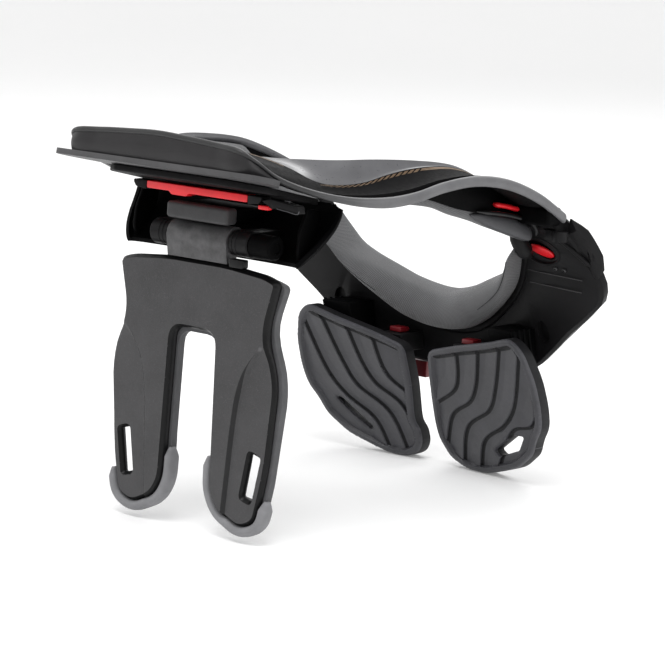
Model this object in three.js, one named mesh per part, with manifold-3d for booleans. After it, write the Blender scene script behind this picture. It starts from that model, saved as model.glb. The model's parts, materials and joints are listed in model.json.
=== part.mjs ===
// Motocross neck brace, standing on its rear strut tips and chest pads.
// Millimetres. X is the wearer's right, Y is forward, Z is up from the floor.
import * as THREE from 'three';
import { mergeVertices } from 'three/addons/utils/BufferGeometryUtils.js';
import Module from 'manifold-3d';

const wasm = await Module();
wasm.setup();

// Overall sizes
const armHalfWidth = 128;      // outer rim at the closures
const rearReach = 44;          // rear wall behind the strut plane
const armReach = 216;          // closure seam ahead of the strut plane
const deckHeight = 245;        // top of the rear wall above the strut's tips
const rimFall = 50;            // drop of the rim from the rear wall to the closures
const frontFlare = 11;         // widest point of the front half beyond the arms
const frontReach = 56;         // how far the front half runs ahead of the seam
const frontShare = 0.605;      // drop of the front half, share of the closures' height

// Walls, gaps and small sizes
const gap = 0.4;               // air between pieces that touch
const seamGap = 1.2;           // air between the two halves at each closure
const deckWall = 3;
const collarWall = 2.6;
const rimRadius = 2.6;
const beadSink = 0.7 * rimRadius;          // centre of the bead below the rim line
const beadFoot = beadSink + rimRadius;     // foot of the bead below the rim line
const wallThickness = 3;
const flangeThickness = 3.5;
const flangeRise = 18;         // top of the rear wall above the flange
const deckSlope = 11.3;        // degrees that the rear deck falls towards the neck
const deckDish = 2.2;          // hollow of the deck between its edges
const collarHollow = 1.2;      // hollow of the collar between its edges
const padThickness = 8;
const frontThickness = 11;
const frontBevel = 2.5;
const frontPadThickness = 13;

// Rear carriage, shell and hinge
const flangeHalfWidth = 89;
const sliderThickness = 4;
const sliderHalfWidth = 66;
const lockHalfWidth = 42;
const lockHeight = 4.6;
const lockDepth = 9;
const lockReach = -4;          // rear face of the lock bar, from the strut plane
const lockTab = 2;             // drop of the tab under the lock bar
const lockEndLength = 11;
const shellHalfWidth = 84;
const shellWall = 3;
const shellDrop = 37;          // height of the open shell
const shellDepth = 25;
const shellFront = 38;         // front face of the shell ahead of the strut plane
const hingeDrop = 50;          // hinge axis below the flange's top
const hingeReach = 7;
const pinRadius = 3;
const knuckleRadius = 8;
const knuckleLength = 15;
const hingeBlockHalfWidth = 25;
const hingeBlockRadius = 9.5;
const wedgeHeight = 11;

// Rear strut
const strutLean = 1.4;         // degrees, tips further back
const strutHalfWidth = 67.5;
const strutThickness = 6;
const strutDrop = 19.5;        // corners of the plate's top below the hinge axis
const strutPadThickness = 5.5;
const strutArch = 0.035;       // rise of the plate's top above its corners, share of its length

// Chest pads and what carries them
const chestPadWidth = 99;
const chestShare = 0.437;      // height of a chest pad, share of the deck's height
const chestPadThickness = 6;
const chestPadGap = 12;        // air between the two pads
const chestPadPitch = 21.8;    // degrees that the pads lean back at the top
const chestPadYaw = 8.5;       // degrees that the pads turn inwards
const chestPadAhead = 24;      // rear face at the inner top corner, ahead of the seam
const chestRounding = 6;
const chestSlotRounding = 2;
const chestRim = 2.2;          // height of the raised border and chevrons
const chevronHalf = 1.6;       // half width of a chevron ridge
const bracketWidth = 22;
const bracketHeight = 26;
const clipLength = 14;
const clipDepth = 5;
const clipHeight = 12;
const topClipHeight = 3.4;
const tabLength = 26;          // red tab on the end of each arm
const tabWidth = 6;
const tabHeight = 4;
const tabPitch = 24.6;         // degrees that the tab falls towards the closure
const tabRise = 1;             // foot of the tab above the pad's head line

// Closures
const barrelRadius = 5;
const barrelHalf = 6.6;        // height of each half of a closure barrel
const barrelSwing = 0.9;       // air round a barrel for the swing of the front half
const barrelPin = 1.6;
const blockDepth = 17;         // block under the end of an arm, back from the seam
const blockRise = 5;           // top of that block above the deck's end
const hingeArm = 12;           // width of the arms that carry the barrels
const hingeArmDepth = 10;
const leverThickness = 4;
const buttonLength = 21;
const buttonHeight = 10;
const buttonTravel = 2;
const buttonDepth = 5;
const buttonProud = 1;

const seamY = armReach;
const frontHalfWidth = armHalfWidth + frontFlare;
const chestPadReach = seamY + chestPadAhead;
const deckDepth = rearReach + armReach;
const slope = Math.tan(THREE.MathUtils.degToRad(deckSlope));
const flangeTop = deckHeight - flangeRise;
const frontDrop = frontShare * (deckHeight - rimFall);
const hingeHeight = flangeTop - hingeDrop;
const strutLength = hingeHeight - strutDrop;
const chestPadHeight = chestShare * deckHeight;

const V = (x, y, z) => new THREE.Vector3(x, y, z);
const V2 = (x, y) => new THREE.Vector2(x, y);
const rad = THREE.MathUtils.degToRad;
const lerp = THREE.MathUtils.lerp;

const black = { color: 0x1c1b1c, roughness: 0.5, metalness: 0 };
const softBlack = { color: 0x242425, roughness: 0.75, metalness: 0 };
const grey = { color: 0x4c4d51, roughness: 0.55, metalness: 0 };
const meshGrey = { color: 0x5b5b5f, roughness: 0.95, metalness: 0 };
const red = { color: 0xd0141c, roughness: 0.4, metalness: 0 };
const steel = { color: 0x8a8a8c, roughness: 0.35, metalness: 1 };

function mesh(name, geometry, look) {
  const made = new THREE.Mesh(geometry, new THREE.MeshStandardMaterial(look));
  made.name = name;
  return made;
}

// Welded copy of a geometry that holds positions alone
function weld(geometry) {
  const plain = new THREE.BufferGeometry();
  plain.setAttribute('position', geometry.getAttribute('position').clone());
  if (geometry.index) plain.setIndex(geometry.index.clone());
  return mergeVertices(plain, 1e-4);
}

function signedVolume(geometry) {
  const p = geometry.getAttribute('position');
  const index = geometry.index;
  const [a, b, c] = [V(0, 0, 0), V(0, 0, 0), V(0, 0, 0)];
  let total = 0;
  for (let i = 0; i < index.count; i += 3) {
    a.fromBufferAttribute(p, index.getX(i));
    b.fromBufferAttribute(p, index.getX(i + 1));
    c.fromBufferAttribute(p, index.getX(i + 2));
    total += a.dot(b.cross(c)) / 6;
  }
  return total;
}

function flipFaces(geometry) {
  const index = geometry.index;
  for (let i = 0; i < index.count; i += 3) {
    const kept = index.getX(i);
    index.setX(i, index.getX(i + 1));
    index.setX(i + 1, kept);
  }
  return geometry;
}

const outward = (geometry) => (signedVolume(geometry) < 0 ? flipFaces(geometry) : geometry);

// Triangles that close one end of a loft, facing along or against the ring's own normal
function capFaces(ring, first, along) {
  const normal = V(0, 0, 0);
  ring.forEach((p, k) => {
    const q = ring[(k + 1) % ring.length];
    normal.x += (p.y - q.y) * (p.z + q.z);
    normal.y += (p.z - q.z) * (p.x + q.x);
    normal.z += (p.x - q.x) * (p.y + q.y);
  });
  normal.normalize();
  const side = Math.abs(normal.z) < 0.9 ? V(0, 0, 1) : V(1, 0, 0);
  const u = side.clone().cross(normal).normalize();
  const v = normal.clone().cross(u);
  const flat = ring.map((p) => V2(p.dot(u), p.dot(v)));
  const faces = THREE.ShapeUtils.triangulateShape(flat, []);
  return faces.flatMap(([a, b, c]) => {
    const turn = flat[b].clone().sub(flat[a]).cross(flat[c].clone().sub(flat[a])) > 0;
    return turn === along ? [first + a, first + b, first + c] : [first + a, first + c, first + b];
  });
}

// Closed body through rings of equal count, from the first ring to the last
function loft(rings) {
  const count = rings[0].length;
  const index = [];
  for (let i = 0; i + 1 < rings.length; i += 1) {
    for (let k = 0; k < count; k += 1) {
      const a = i * count + k;
      const b = i * count + ((k + 1) % count);
      index.push(a, b, b + count, a, b + count, a + count);
    }
  }
  const last = (rings.length - 1) * count;
  index.push(...capFaces(rings[0], 0, false), ...capFaces(rings[rings.length - 1], last, true));
  const geometry = new THREE.BufferGeometry();
  const flat = rings.flat().flatMap((p) => [p.x, p.y, p.z]);
  geometry.setAttribute('position', new THREE.Float32BufferAttribute(flat, 3));
  geometry.setIndex(index);
  return outward(geometry);
}

// Outline with its corners rounded to the given radii
function roundedShape(points, radii) {
  const shape = new THREE.Shape();
  points.forEach((p, k) => {
    const before = points[(k + points.length - 1) % points.length];
    const after = points[(k + 1) % points.length];
    const radius = Array.isArray(radii) ? radii[k] : radii;
    const reach = Math.min(radius, p.distanceTo(before) / 2.1, p.distanceTo(after) / 2.1);
    const start = p.clone().add(before.clone().sub(p).setLength(reach));
    const end = p.clone().add(after.clone().sub(p).setLength(reach));
    if (k === 0) shape.moveTo(start.x, start.y);
    else shape.lineTo(start.x, start.y);
    shape.quadraticCurveTo(p.x, p.y, end.x, end.y);
  });
  shape.closePath();
  return shape;
}

function extrude(shape, depth, curveSegments = 4) {
  return weld(new THREE.ExtrudeGeometry(shape, { depth, curveSegments, bevelEnabled: false }));
}

// Plate in the XZ plane: shape x stays X, shape y becomes Z, thickness runs along +Y
function uprightPlate(shape, from, to, curveSegments = 4) {
  const geometry = extrude(shape, to - from, curveSegments);
  geometry.rotateX(Math.PI / 2);
  geometry.translate(0, to, 0);
  return outward(geometry);
}

// Prism along X: shape x becomes Y, shape y becomes Z
function crossPrism(shape, from, to, curveSegments = 6) {
  const geometry = extrude(shape, to - from, curveSegments);
  geometry.applyMatrix4(new THREE.Matrix4().makeBasis(V(0, 1, 0), V(0, 0, 1), V(1, 0, 0)));
  geometry.translate(from, 0, 0);
  return outward(geometry);
}

function mirrored(geometry) {
  return flipFaces(geometry.clone().scale(-1, 1, 1));
}

function solid(geometry) {
  const clean = weld(geometry);
  return new wasm.Manifold(new wasm.Mesh({
    numProp: 3,
    vertProperties: new Float32Array(clean.getAttribute('position').array),
    triVerts: new Uint32Array(clean.index.array),
  }));
}

function fromSolid(body) {
  const made = body.getMesh();
  const geometry = new THREE.BufferGeometry();
  geometry.setAttribute('position', new THREE.BufferAttribute(new Float32Array(made.vertProperties), 3));
  geometry.setIndex(new THREE.BufferAttribute(new Uint32Array(made.triVerts), 1));
  return geometry;
}

// The biggest connected body, for pieces whose trimming leaves loose slivers
const largest = (body) => body.decompose().reduce((a, b) => (a.volume() > b.volume() ? a : b));

const cut = (body, ...tools) => fromSolid(tools.reduce((left, t) => left.subtract(solid(t)), solid(body)));
const join = (...bodies) => fromSolid(bodies.map(solid).reduce((left, right) => left.add(right)));

// Stations of the rear half from the centre of the rear wall to a closure.
// Each column is a share: across of armHalfWidth, along of deckDepth, fall of rimFall.
const stationRows = [
  { rim: [0, 0, 0], edge: [0, 0.208, 0.22], crest: [0, 0.246, 0.30], foot: 0.64, head: 0.36 },
  { rim: [0.188, 0, 0.02], edge: [0.172, 0.208, 0.23], crest: [0.156, 0.25, 0.30], foot: 0.64, head: 0.36 },
  { rim: [0.375, 0, 0.08], edge: [0.344, 0.22, 0.30], crest: [0.297, 0.273, 0.30], foot: 0.65, head: 0.36 },
  { rim: [0.516, 0.004, 0.17], edge: [0.47, 0.235, 0.40], crest: [0.42, 0.304, 0.29],
    foot: 0.66, head: 0.36 },
  { rim: [0.578, 0.038, 0.30], edge: [0.547, 0.25, 0.49], crest: [0.516, 0.335, 0.28],
    foot: 0.68, head: 0.36 },
  { rim: [0.621, 0.1, 0.45], edge: [0.6, 0.273, 0.54], crest: [0.578, 0.369, 0.27], foot: 0.71, head: 0.35 },
  { rim: [0.69, 0.2, 0.6], edge: [0.648, 0.315, 0.55], crest: [0.625, 0.412, 0.26], foot: 0.75, head: 0.34 },
  { rim: [0.773, 0.273, 0.67], edge: [0.688, 0.369, 0.52], crest: [0.664, 0.462, 0.26],
    foot: 0.79, head: 0.34 },
  { rim: [0.844, 0.369, 0.68], edge: [0.711, 0.438, 0.44], crest: [0.688, 0.515, 0.27],
    foot: 0.83, head: 0.35 },
  { rim: [0.875, 0.465, 0.63], edge: [0.727, 0.515, 0.38], crest: [0.699, 0.573, 0.29],
    foot: 0.86, head: 0.37 },
  { rim: [0.898, 0.562, 0.52], edge: [0.734, 0.596, 0.36], crest: [0.703, 0.638, 0.32],
    foot: 0.91, head: 0.42 },
  { rim: [0.93, 0.665, 0.46], edge: [0.734, 0.685, 0.39], crest: [0.699, 0.712, 0.38],
    foot: 1.02, head: 0.52 },
  { rim: [0.961, 0.777, 0.52], edge: [0.727, 0.785, 0.52], crest: [0.688, 0.796, 0.51],
    foot: 1.12, head: 0.76 },
  { rim: [0.984, 0.896, 0.72], edge: [0.711, 0.896, 0.71], crest: [0.664, 0.896, 0.72],
    foot: 1.26, head: 1.0 },
  { rim: [1, 1, 1], edge: [0.703, 1, 0.98], crest: [0.648, 1, 0.99], foot: 1.38, head: 1.16 },
];

const deckZ = (fall) => deckHeight - fall * rimFall;
const stationPoint = ([across, along, fall]) =>
  V(across * armHalfWidth, along * deckDepth - rearReach, deckZ(fall));

function mirroredCurve(points) {
  const left = points.slice(1).reverse().map((p) => V(-p.x, p.y, p.z));
  return new THREE.CatmullRomCurve3([...left, ...points], false, 'centripetal');
}

const rimCurve = mirroredCurve(stationRows.map((row) => stationPoint(row.rim)));
const edgeCurve = mirroredCurve(stationRows.map((row) => stationPoint(row.edge)));
const crestCurve = mirroredCurve(stationRows.map((row) => stationPoint(row.crest)));
const atCrest = (row, fall) => stationPoint([row.crest[0], row.crest[1], fall]);
const footCurve = mirroredCurve(stationRows.map((row) => atCrest(row, row.foot)));
const headCurve = mirroredCurve(stationRows.map((row) => atCrest(row, row.head)));

// Unit vector in plan that points away from the neck
function awayFrom(curve, u) {
  const step = 0.004;
  const ahead = curve.getPoint(Math.min(1, u + step));
  const behind = curve.getPoint(Math.max(0, u - step));
  const along = ahead.sub(behind).setZ(0).normalize();
  return V(along.y, -along.x, 0);
}

// Place on the rear half's curves of a station, counted from the rear centre
const rowPlaceAlongArm = (row) => 0.5 + row / (stationRows.length - 1) / 2;

const shares = (count, from = 0, to = 1) =>
  Array.from({ length: count }, (_, i) => lerp(from, to, i / (count - 1)));

const offset = (p, away, out, up) => V(p.x + away.x * out, p.y + away.y * out, p.z + up);

// Black deck: a skin from the rim to the black inner edge, slightly hollow on top.
// Extra thickens it below and raise lifts its top, for the pieces that are trimmed by it.
function deck(extra = 0, raise = 0) {
  const inset = rimRadius * 2 + gap;
  const rings = shares(45).map((u) => {
    const rim = rimCurve.getPoint(u);
    const edge = edgeCurve.getPoint(u);
    const rise = (edge.z - rim.z) * (inset / edge.distanceTo(rim));
    const outer = offset(rim, awayFrom(rimCurve, u), -inset, rise);
    const third = outer.clone().lerp(edge, 0.33).add(V(0, 0, -deckDish * 0.8));
    const twoThirds = outer.clone().lerp(edge, 0.67).add(V(0, 0, -deckDish));
    const top = [outer, third, twoThirds, edge];
    const under = top.map((p) => p.clone().add(V(0, 0, -deckWall - extra))).reverse();
    return [...top.map((p) => p.clone().add(V(0, 0, raise))), ...under];
  });
  return loft(rings);
}

// Grey bead that runs along the outer edge of the deck
function rimBead(extra = 0) {
  const sides = 8;
  const rings = shares(49).map((u) => {
    const away = awayFrom(rimCurve, u);
    const centre = offset(rimCurve.getPoint(u), away, -rimRadius, -beadSink);
    return Array.from({ length: sides }, (_, k) => {
      const angle = ((k + 0.5) / sides) * Math.PI * 2;
      const radius = rimRadius + extra;
      return offset(centre, away, Math.cos(angle) * radius, Math.sin(angle) * radius);
    });
  });
  return loft(rings);
}

// Smooth grey collar that rises from the deck's inner edge to the crest
function collar() {
  const rings = shares(45).map((u) => {
    const edge = edgeCurve.getPoint(u);
    const crest = crestCurve.getPoint(u);
    const inward = crest.clone().sub(edge).normalize();
    const start = edge.clone().addScaledVector(inward, gap);
    const hollow = start.clone().lerp(crest, 0.55).add(V(0, 0, -collarHollow));
    const top = [start, hollow, crest];
    const under = top.map((p) => p.clone().add(V(0, 0, -collarWall))).reverse();
    return [...top, ...under];
  });
  return loft(rings);
}

// Section of the rear pad: share of its thickness towards the neck, share of its height
const rearPadSection = [[0, 0.15], [0, 0.6], [0.25, 1], [0.75, 1], [1, 0.75], [1, 0.25], [0.7, 0], [0.2, 0]];
const flapStart = 0.78;        // place along an arm where the pad leaves the collar for its flap

// Padding band along the neck side of the rear half, seated under the collar's lip
function rearPad() {
  const rings = shares(45).map((u) => {
    const crest = crestCurve.getPoint(u);
    const away = awayFrom(crestCurve, u);
    const flap = Math.max(0, Math.abs(u - 0.5) * 2 - flapStart) / (1 - flapStart);
    const out = padThickness * lerp(0.25, 0.9, flap);
    const lip = crest.z - collarWall - gap;
    const head = headCurve.getPoint(u).z - collarWall - gap;
    const foot = footCurve.getPoint(u).z;
    return rearPadSection.map(([share, height]) => {
      const p = offset(crest, away, out - share * padThickness, 0);
      const top = share < 0.5 ? lerp(lip, head, Math.min(1, flap * 4)) : head;
      return p.setZ(lerp(foot, top, height));
    });
  });
  return loft(rings);
}

const flangeZ = (y) => flangeTop - (y + rearReach) * slope;

// Rear wall from the flange up to the bead, round both corners
function rearWall() {
  const end = 0.302;
  const rings = shares(29, end, 1 - end).map((u) => {
    const rim = rimCurve.getPoint(u);
    const away = awayFrom(rimCurve, u);
    const out = offset(rim, away, -gap, 0);
    const inn = offset(rim, away, -gap - wallThickness, 0);
    const top = rim.z - beadFoot - gap;
    const foot = (p) => Math.min(flangeZ(p.y), top - 1);
    return [
      V(out.x, out.y, foot(out)), V(out.x, out.y, top), V(inn.x, inn.y, top), V(inn.x, inn.y, foot(inn)),
    ];
  });
  return fromSolid(largest(solid(loft(rings)).subtract(solid(flangePlate(gap)))));
}

// Flat plate that follows the deck's slope; its top face passes through z at y = -rearReach
function slopedPlate(points, radius, top, thickness) {
  const geometry = extrude(roundedShape(points, radius), thickness);
  geometry.translate(0, rearReach, -thickness);
  geometry.rotateX(-rad(deckSlope));
  geometry.translate(0, -rearReach, top);
  return geometry;
}

// Right half of the flange: share of its half width, share of rearReach from the strut plane
const flangeRows = [[0.93, -1.02], [1, -0.8], [0.95, -0.52], [0.74, -0.05]];

// Right half of the slider: share of its half width, distance ahead of the strut plane
const sliderRows = [[0.72, -0.7 * (rearReach - 4)], [1, -12], [1, shellFront + 1]];

function symmetricOutline(rows, halfWidth, unit) {
  const right = rows.map(([across, along]) => V2(across * halfWidth, along * unit));
  return [...right, ...right.map((p) => V2(-p.x, p.y)).reverse()];
}

function flangePlate(raise = 0) {
  const outline = symmetricOutline(flangeRows, flangeHalfWidth, rearReach);
  return slopedPlate(outline, 4, flangeTop + raise, flangeThickness + raise);
}

const flange = () => cut(flangePlate(), rimBead(gap), deck(gap));

const sliderTop = flangeTop - flangeThickness - gap;
const sliderFoot = (y) => sliderTop - sliderThickness - (y + rearReach) * slope;

function slider() {
  const outline = symmetricOutline(sliderRows, sliderHalfWidth, 1);
  return slopedPlate(outline, sliderThickness * 0.75, sliderTop, sliderThickness);
}

const lockTop = sliderFoot(lockReach + lockDepth) - gap;
const lockFoot = lockTop - lockHeight;

// Red lock bar under the slider, with a lower tab left of its middle
function lockBar() {
  const half = lockHalfWidth;
  const outline = [
    V2(-half, lockFoot), V2(-0.55 * half, lockFoot), V2(-0.5 * half, lockFoot - lockTab),
    V2(-0.2 * half, lockFoot - lockTab), V2(-0.15 * half, lockFoot), V2(half, lockFoot),
    V2(half, lockTop), V2(-half, lockTop),
  ];
  return uprightPlate(roundedShape(outline, 0.6), lockReach, lockReach + lockDepth, 1);
}

function lockEnd() {
  const near = lockHalfWidth + gap;
  const far = near + lockEndLength;
  const outline = [
    V2(near, lockFoot - lockTab / 2), V2(far - lockTab, lockFoot), V2(far, lockTop - lockTab),
    V2(far, lockTop), V2(near, lockTop),
  ];
  return uprightPlate(roundedShape(outline, 0.6), lockReach, lockReach + lockDepth, 1);
}

// Section of the open shell, as shares of its depth and drop from its top front corner
const shellRows = [
  { back: 0, down: 0 }, { back: 0, down: 0.45 }, { back: 0.16, down: 0.82 }, { back: 0.5, down: 1 },
  { back: 0.92, down: 1.01 },
];

const shellTop = sliderFoot(shellFront) - gap;

// Lower rear points of the shell's end caps, as shares like the section's
const capRows = [{ back: 1.2, down: 0.49 }, { back: 1.28, down: -0.03 }];

function shellSection(inset) {
  return shellRows.map(({ back, down }) => {
    const y = shellFront - back * shellDepth;
    const z = shellTop - down * shellDrop;
    return V2(y - inset * (1 - back), z + inset * down);
  });
}

// Trough that is open to the rear, with a curved cap at each end
function shell() {
  const outer = shellSection(0);
  const inner = shellSection(shellWall);
  const wall = new THREE.Shape([...outer, ...inner.reverse()]);
  const half = shellHalfWidth;
  const rear = capRows.map(({ back, down }) => V2(shellFront - back * shellDepth, shellTop - down * shellDrop));
  const cap = new THREE.Shape([...outer, ...rear]);
  const trough = crossPrism(wall, -half + shellWall / 2, half - shellWall / 2);
  const right = crossPrism(cap, half - shellWall, half);
  return join(trough, right, mirrored(right));
}

// Points of a circle, as an outline without a doubled end point
const circle = (radius, sides) =>
  Array.from({ length: sides }, (_, k) => {
    const angle = (k / sides) * Math.PI * 2;
    return V2(Math.cos(angle) * radius, Math.sin(angle) * radius);
  });

const disc = (radius, from, to, sides = 20) => crossPrism(new THREE.Shape(circle(radius, sides)), from, to);

const hingeAt = (geometry) => geometry.translate(0, hingeReach, hingeHeight);

// Knuckle with the arm that carries it from the bottom of the shell
function lug() {
  const from = hingeBlockHalfWidth + gap * 2;
  const to = from + knuckleLength;
  const floor = shellSection(shellWall);
  const rest = floor.map((p) => V2(p.x - gap - hingeReach, p.y + gap - hingeHeight));
  const arm = new THREE.Shape([V2(0, knuckleRadius), V2(rest[2].x, knuckleRadius), rest[2], rest[3],
    rest[4], V2(0, -knuckleRadius * 0.6)]);
  const whole = join(disc(knuckleRadius, from, to), crossPrism(arm, from, to));
  return hingeAt(cut(whole, disc(pinRadius + gap, from - 1, to + 1)));
}

function hingePin() {
  const half = hingeBlockHalfWidth + knuckleLength + gap * 2 + 1;
  return hingeAt(disc(pinRadius, -half, half));
}

// Stop block that sets the strut's angle, between the hinge block and the slider
function wedge() {
  const foot = hingeHeight + hingeBlockRadius + gap * 2;
  const back = hingeReach - hingeBlockRadius;
  const top = foot + wedgeHeight;
  const front = shellFront - shellWall - gap;
  const shape = roundedShape([V2(back + 1, foot), V2(front, foot), V2(front, top), V2(back, top)], 1.5);
  return crossPrism(shape, -hingeBlockHalfWidth - 1, hingeBlockHalfWidth + 1, 3);
}

// The strut group stands at the hinge axis; local z falls from the axis to the tips
const strutTop = -strutDrop;
const strutBack = -hingeReach;

function hingeBlock() {
  const from = -hingeBlockHalfWidth;
  const to = hingeBlockHalfWidth;
  const foot = strutTop + strutArch * strutLength + gap;
  const tab = new THREE.Shape([
    V2(-hingeBlockRadius, 0), V2(strutBack, foot), V2(strutBack + strutThickness, foot),
    V2(hingeBlockRadius * 0.4, -hingeBlockRadius * 0.8), V2(0, 0),
  ]);
  const whole = join(disc(hingeBlockRadius, from, to), crossPrism(tab, from, to));
  return cut(whole, disc(pinRadius + gap, from - 1, to + 1));
}

// Half outline of the strut plate: across of strutHalfWidth, down of strutLength
const strutRows = [
  { across: 0.36, down: -strutArch, round: 8 }, { across: 0.84, down: -0.016, round: 5 },
  { across: 0.985, down: 0.006, round: 4 }, { across: 0.85, down: 0.215, round: 14 },
  { across: 0.992, down: 0.4, round: 14 }, { across: 0.955, down: 0.76, round: 20 },
  { across: 0.87, down: 0.965, round: 6 }, { across: 0.68, down: 1, round: 10 },
  { across: 0.40, down: 0.945, round: 9 }, { across: 0.30, down: 0.87, round: 12 },
  { across: 0.262, down: 0.243, round: 9 },
];

// The pad's own half outline, with lips at the leg tips
const strutPadRows = [
  { across: 0.36, down: -0.02, round: 8 }, { across: 0.86, down: 0, round: 5 },
  { across: 1.02, down: 0.02, round: 4 }, { across: 0.875, down: 0.215, round: 14 },
  { across: 1.02, down: 0.4, round: 14 }, { across: 0.975, down: 0.82, round: 6 },
  { across: 1.02, down: 0.94, round: 12 }, { across: 0.9, down: 1.03, round: 10 },
  { across: 0.66, down: 1.064, round: 9 }, { across: 0.3, down: 0.99, round: 9 },
  { across: 0.15, down: 0.9, round: 8 }, { across: 0.16, down: 0.82, round: 5 },
  { across: 0.26, down: 0.72, round: 5 }, { across: 0.235, down: 0.26, round: 9 },
];

function strutShape(rows) {
  const half = rows.map(({ across, down }) => V2(across * strutHalfWidth, strutTop - down * strutLength));
  const left = [...half].reverse().map((p) => V2(-p.x, p.y));
  const radii = [...rows.map((row) => row.round), ...[...rows].reverse().map((row) => row.round)];
  return roundedShape([...half, ...left], radii);
}

// Four corners of the slot near a leg tip, as shares of the strut's half width and length
const slotCorners = [[0.875, 0.705], [0.77, 0.692], [0.7, 0.87], [0.8, 0.882]];

function strutSlot(side) {
  const points = slotCorners.map(([across, down]) =>
    V2(side * across * strutHalfWidth, strutTop - down * strutLength));
  const outline = roundedShape(side > 0 ? points.reverse() : points, gap * 3);
  return uprightPlate(outline, strutBack - strutThickness, strutBack + strutThickness * 4, 2);
}

function strutPlate() {
  const plate = uprightPlate(strutShape(strutRows), strutBack, strutBack + strutThickness);
  return cut(plate, strutSlot(1), strutSlot(-1));
}

function strutPad() {
  const from = strutBack + strutThickness + gap;
  const plate = uprightPlate(strutShape(strutPadRows), from, from + strutPadThickness);
  return cut(plate, strutSlot(1), strutSlot(-1));
}

// Front half from the centre to a closure. Shares: across of frontHalfWidth, along of
// frontReach from the seam, down of frontDrop from the deck's end. Tilt is the turn of
// the wall's thickness from forwards to up, in degrees.
const frontRows = [
  { inner: [0, 0.93, 0.84], outer: [0, 1, 1.08], tilt: 12 },
  { inner: [0.2, 0.88, 0.8], outer: [0.22, 0.98, 1.07], tilt: 12 },
  { inner: [0.36, 0.75, 0.68], outer: [0.43, 0.89, 1.045], tilt: 15 },
  { inner: [0.49, 0.61, 0.53], outer: [0.575, 0.8, 0.97], tilt: 20 },
  { inner: [0.547, 0.5, 0.42], outer: [0.79, 0.645, 0.745], tilt: 25 },
  { inner: [0.583, 0.39, 0.325], outer: [0.978, 0.48, 0.52], tilt: 30 },
  { inner: [0.61, 0.3, 0.24], outer: [0.985, 0.445, 0.42], tilt: 38 },
  { inner: [0.633, 0.21, 0.17], outer: [0.955, 0.36, 0.31], tilt: 50 },
  { inner: [0.65, 0.1, 0.12], outer: [0.92, 0.18, 0.175], tilt: 70 },
  { inner: [0.655, 0, 0.105], outer: [0.887, 0, 0.088], tilt: 90 },
];

const frontPoint = ([across, along, down]) =>
  V(across * frontHalfWidth, seamY + seamGap + along * frontReach, deckZ(1) - down * frontDrop);
const innerCurve = mirroredCurve(frontRows.map((row) => frontPoint(row.inner)));
const outerCurve = mirroredCurve(frontRows.map((row) => frontPoint(row.outer)));

function frontTilt(u) {
  const place = Math.abs(u - 0.5) * 2 * (frontRows.length - 1);
  const k = Math.min(frontRows.length - 2, Math.floor(place));
  return rad(lerp(frontRows[k].tilt, frontRows[k + 1].tilt, place - k));
}

// Places along the front half: u runs 0 to 1 from the left closure to the right one
const rowPlace = (row) => 0.5 + (row / (frontRows.length - 1)) / 2;

function frontFrame(u) {
  const inner = innerCurve.getPoint(u);
  const outer = outerCurve.getPoint(u);
  const tilt = frontTilt(u);
  const through = V(0, Math.cos(tilt), Math.sin(tilt));
  const across = outer.clone().sub(inner).normalize();
  const at = (p, depth, along) => p.clone().addScaledVector(through, depth).addScaledVector(across, along);
  return { inner, outer, through, across, at };
}

function frontWall(extra = 0) {
  const bevel = frontBevel;
  const rings = shares(41).map((u) => {
    const { inner, outer, at } = frontFrame(u);
    const far = frontThickness + extra;
    return [
      at(inner, -extra, bevel), at(outer, -extra, -bevel),
      at(outer, bevel, extra), at(outer, far - bevel, extra),
      at(outer, far, -bevel), at(inner, far, bevel),
      at(inner, far - bevel, -extra), at(inner, bevel, -extra),
    ];
  });
  return loft(rings);
}

// Hinge barrels under the outer corner of each closure
const barrelX = armHalfWidth - barrelRadius + 0.5;
const barrelY = seamY + seamGap / 2;
const barrelTop = deckZ(1) - beadFoot - gap * 2;
const barrelSeam = barrelTop - barrelHalf;
const barrelFoot = barrelSeam - gap - barrelHalf;

function uprightDisc(radius, from, to, sides = 18) {
  const geometry = extrude(new THREE.Shape(circle(radius, sides)), to - from);
  return geometry.translate(barrelX, barrelY, from);
}

function boxFrom(low, high) {
  const size = high.clone().sub(low);
  const box = weld(new THREE.BoxGeometry(size.x, size.y, size.z));
  return box.translate(...low.clone().add(high).multiplyScalar(0.5).toArray());
}

const bore = () => uprightDisc(barrelPin + gap / 2, barrelFoot - 1, barrelTop + 1, 12);

// Black block under the end of each arm, with the rear half of the hinge barrel
function armBlock() {
  const near = edgeCurve.getPoint(1).x + 4;
  const far = armHalfWidth - rimRadius * 2 - gap;
  const block = boxFrom(V(near, seamY - blockDepth, barrelSeam), V(far, seamY, deckZ(1) + blockRise));
  const arm = boxFrom(V(barrelX - hingeArm, barrelY - barrelRadius, barrelSeam), V(barrelX, seamY, barrelTop));
  const underDeck = solid(block).subtract(solid(deck(gap, rimFall)));
  const trimmed = underDeck.add(solid(arm)).subtract(solid(rimBead(gap)));
  const withBarrel = trimmed.add(solid(uprightDisc(barrelRadius, barrelSeam, barrelTop)));
  return fromSolid(withBarrel.subtract(solid(bore())));
}

// Arm that joins the front half's barrel to its wall, with air round it where it is used to trim
function barrelArm(air = 0) {
  const low = V(barrelX - hingeArm - air, barrelY, barrelFoot - air);
  return boxFrom(low, V(barrelX + air, barrelY + hingeArmDepth + air, barrelSeam - gap + air));
}

const frontBarrel = () => join(uprightDisc(barrelRadius, barrelFoot, barrelSeam - gap), barrelArm());

const swingSpace = (from) => uprightDisc(barrelRadius + barrelSwing, from, deckZ(1) + rimRadius * 4);

// Oval release button, its travel set along the wall's thickness
const buttonRow = 6.35;
const buttonShare = 0.22;

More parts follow.
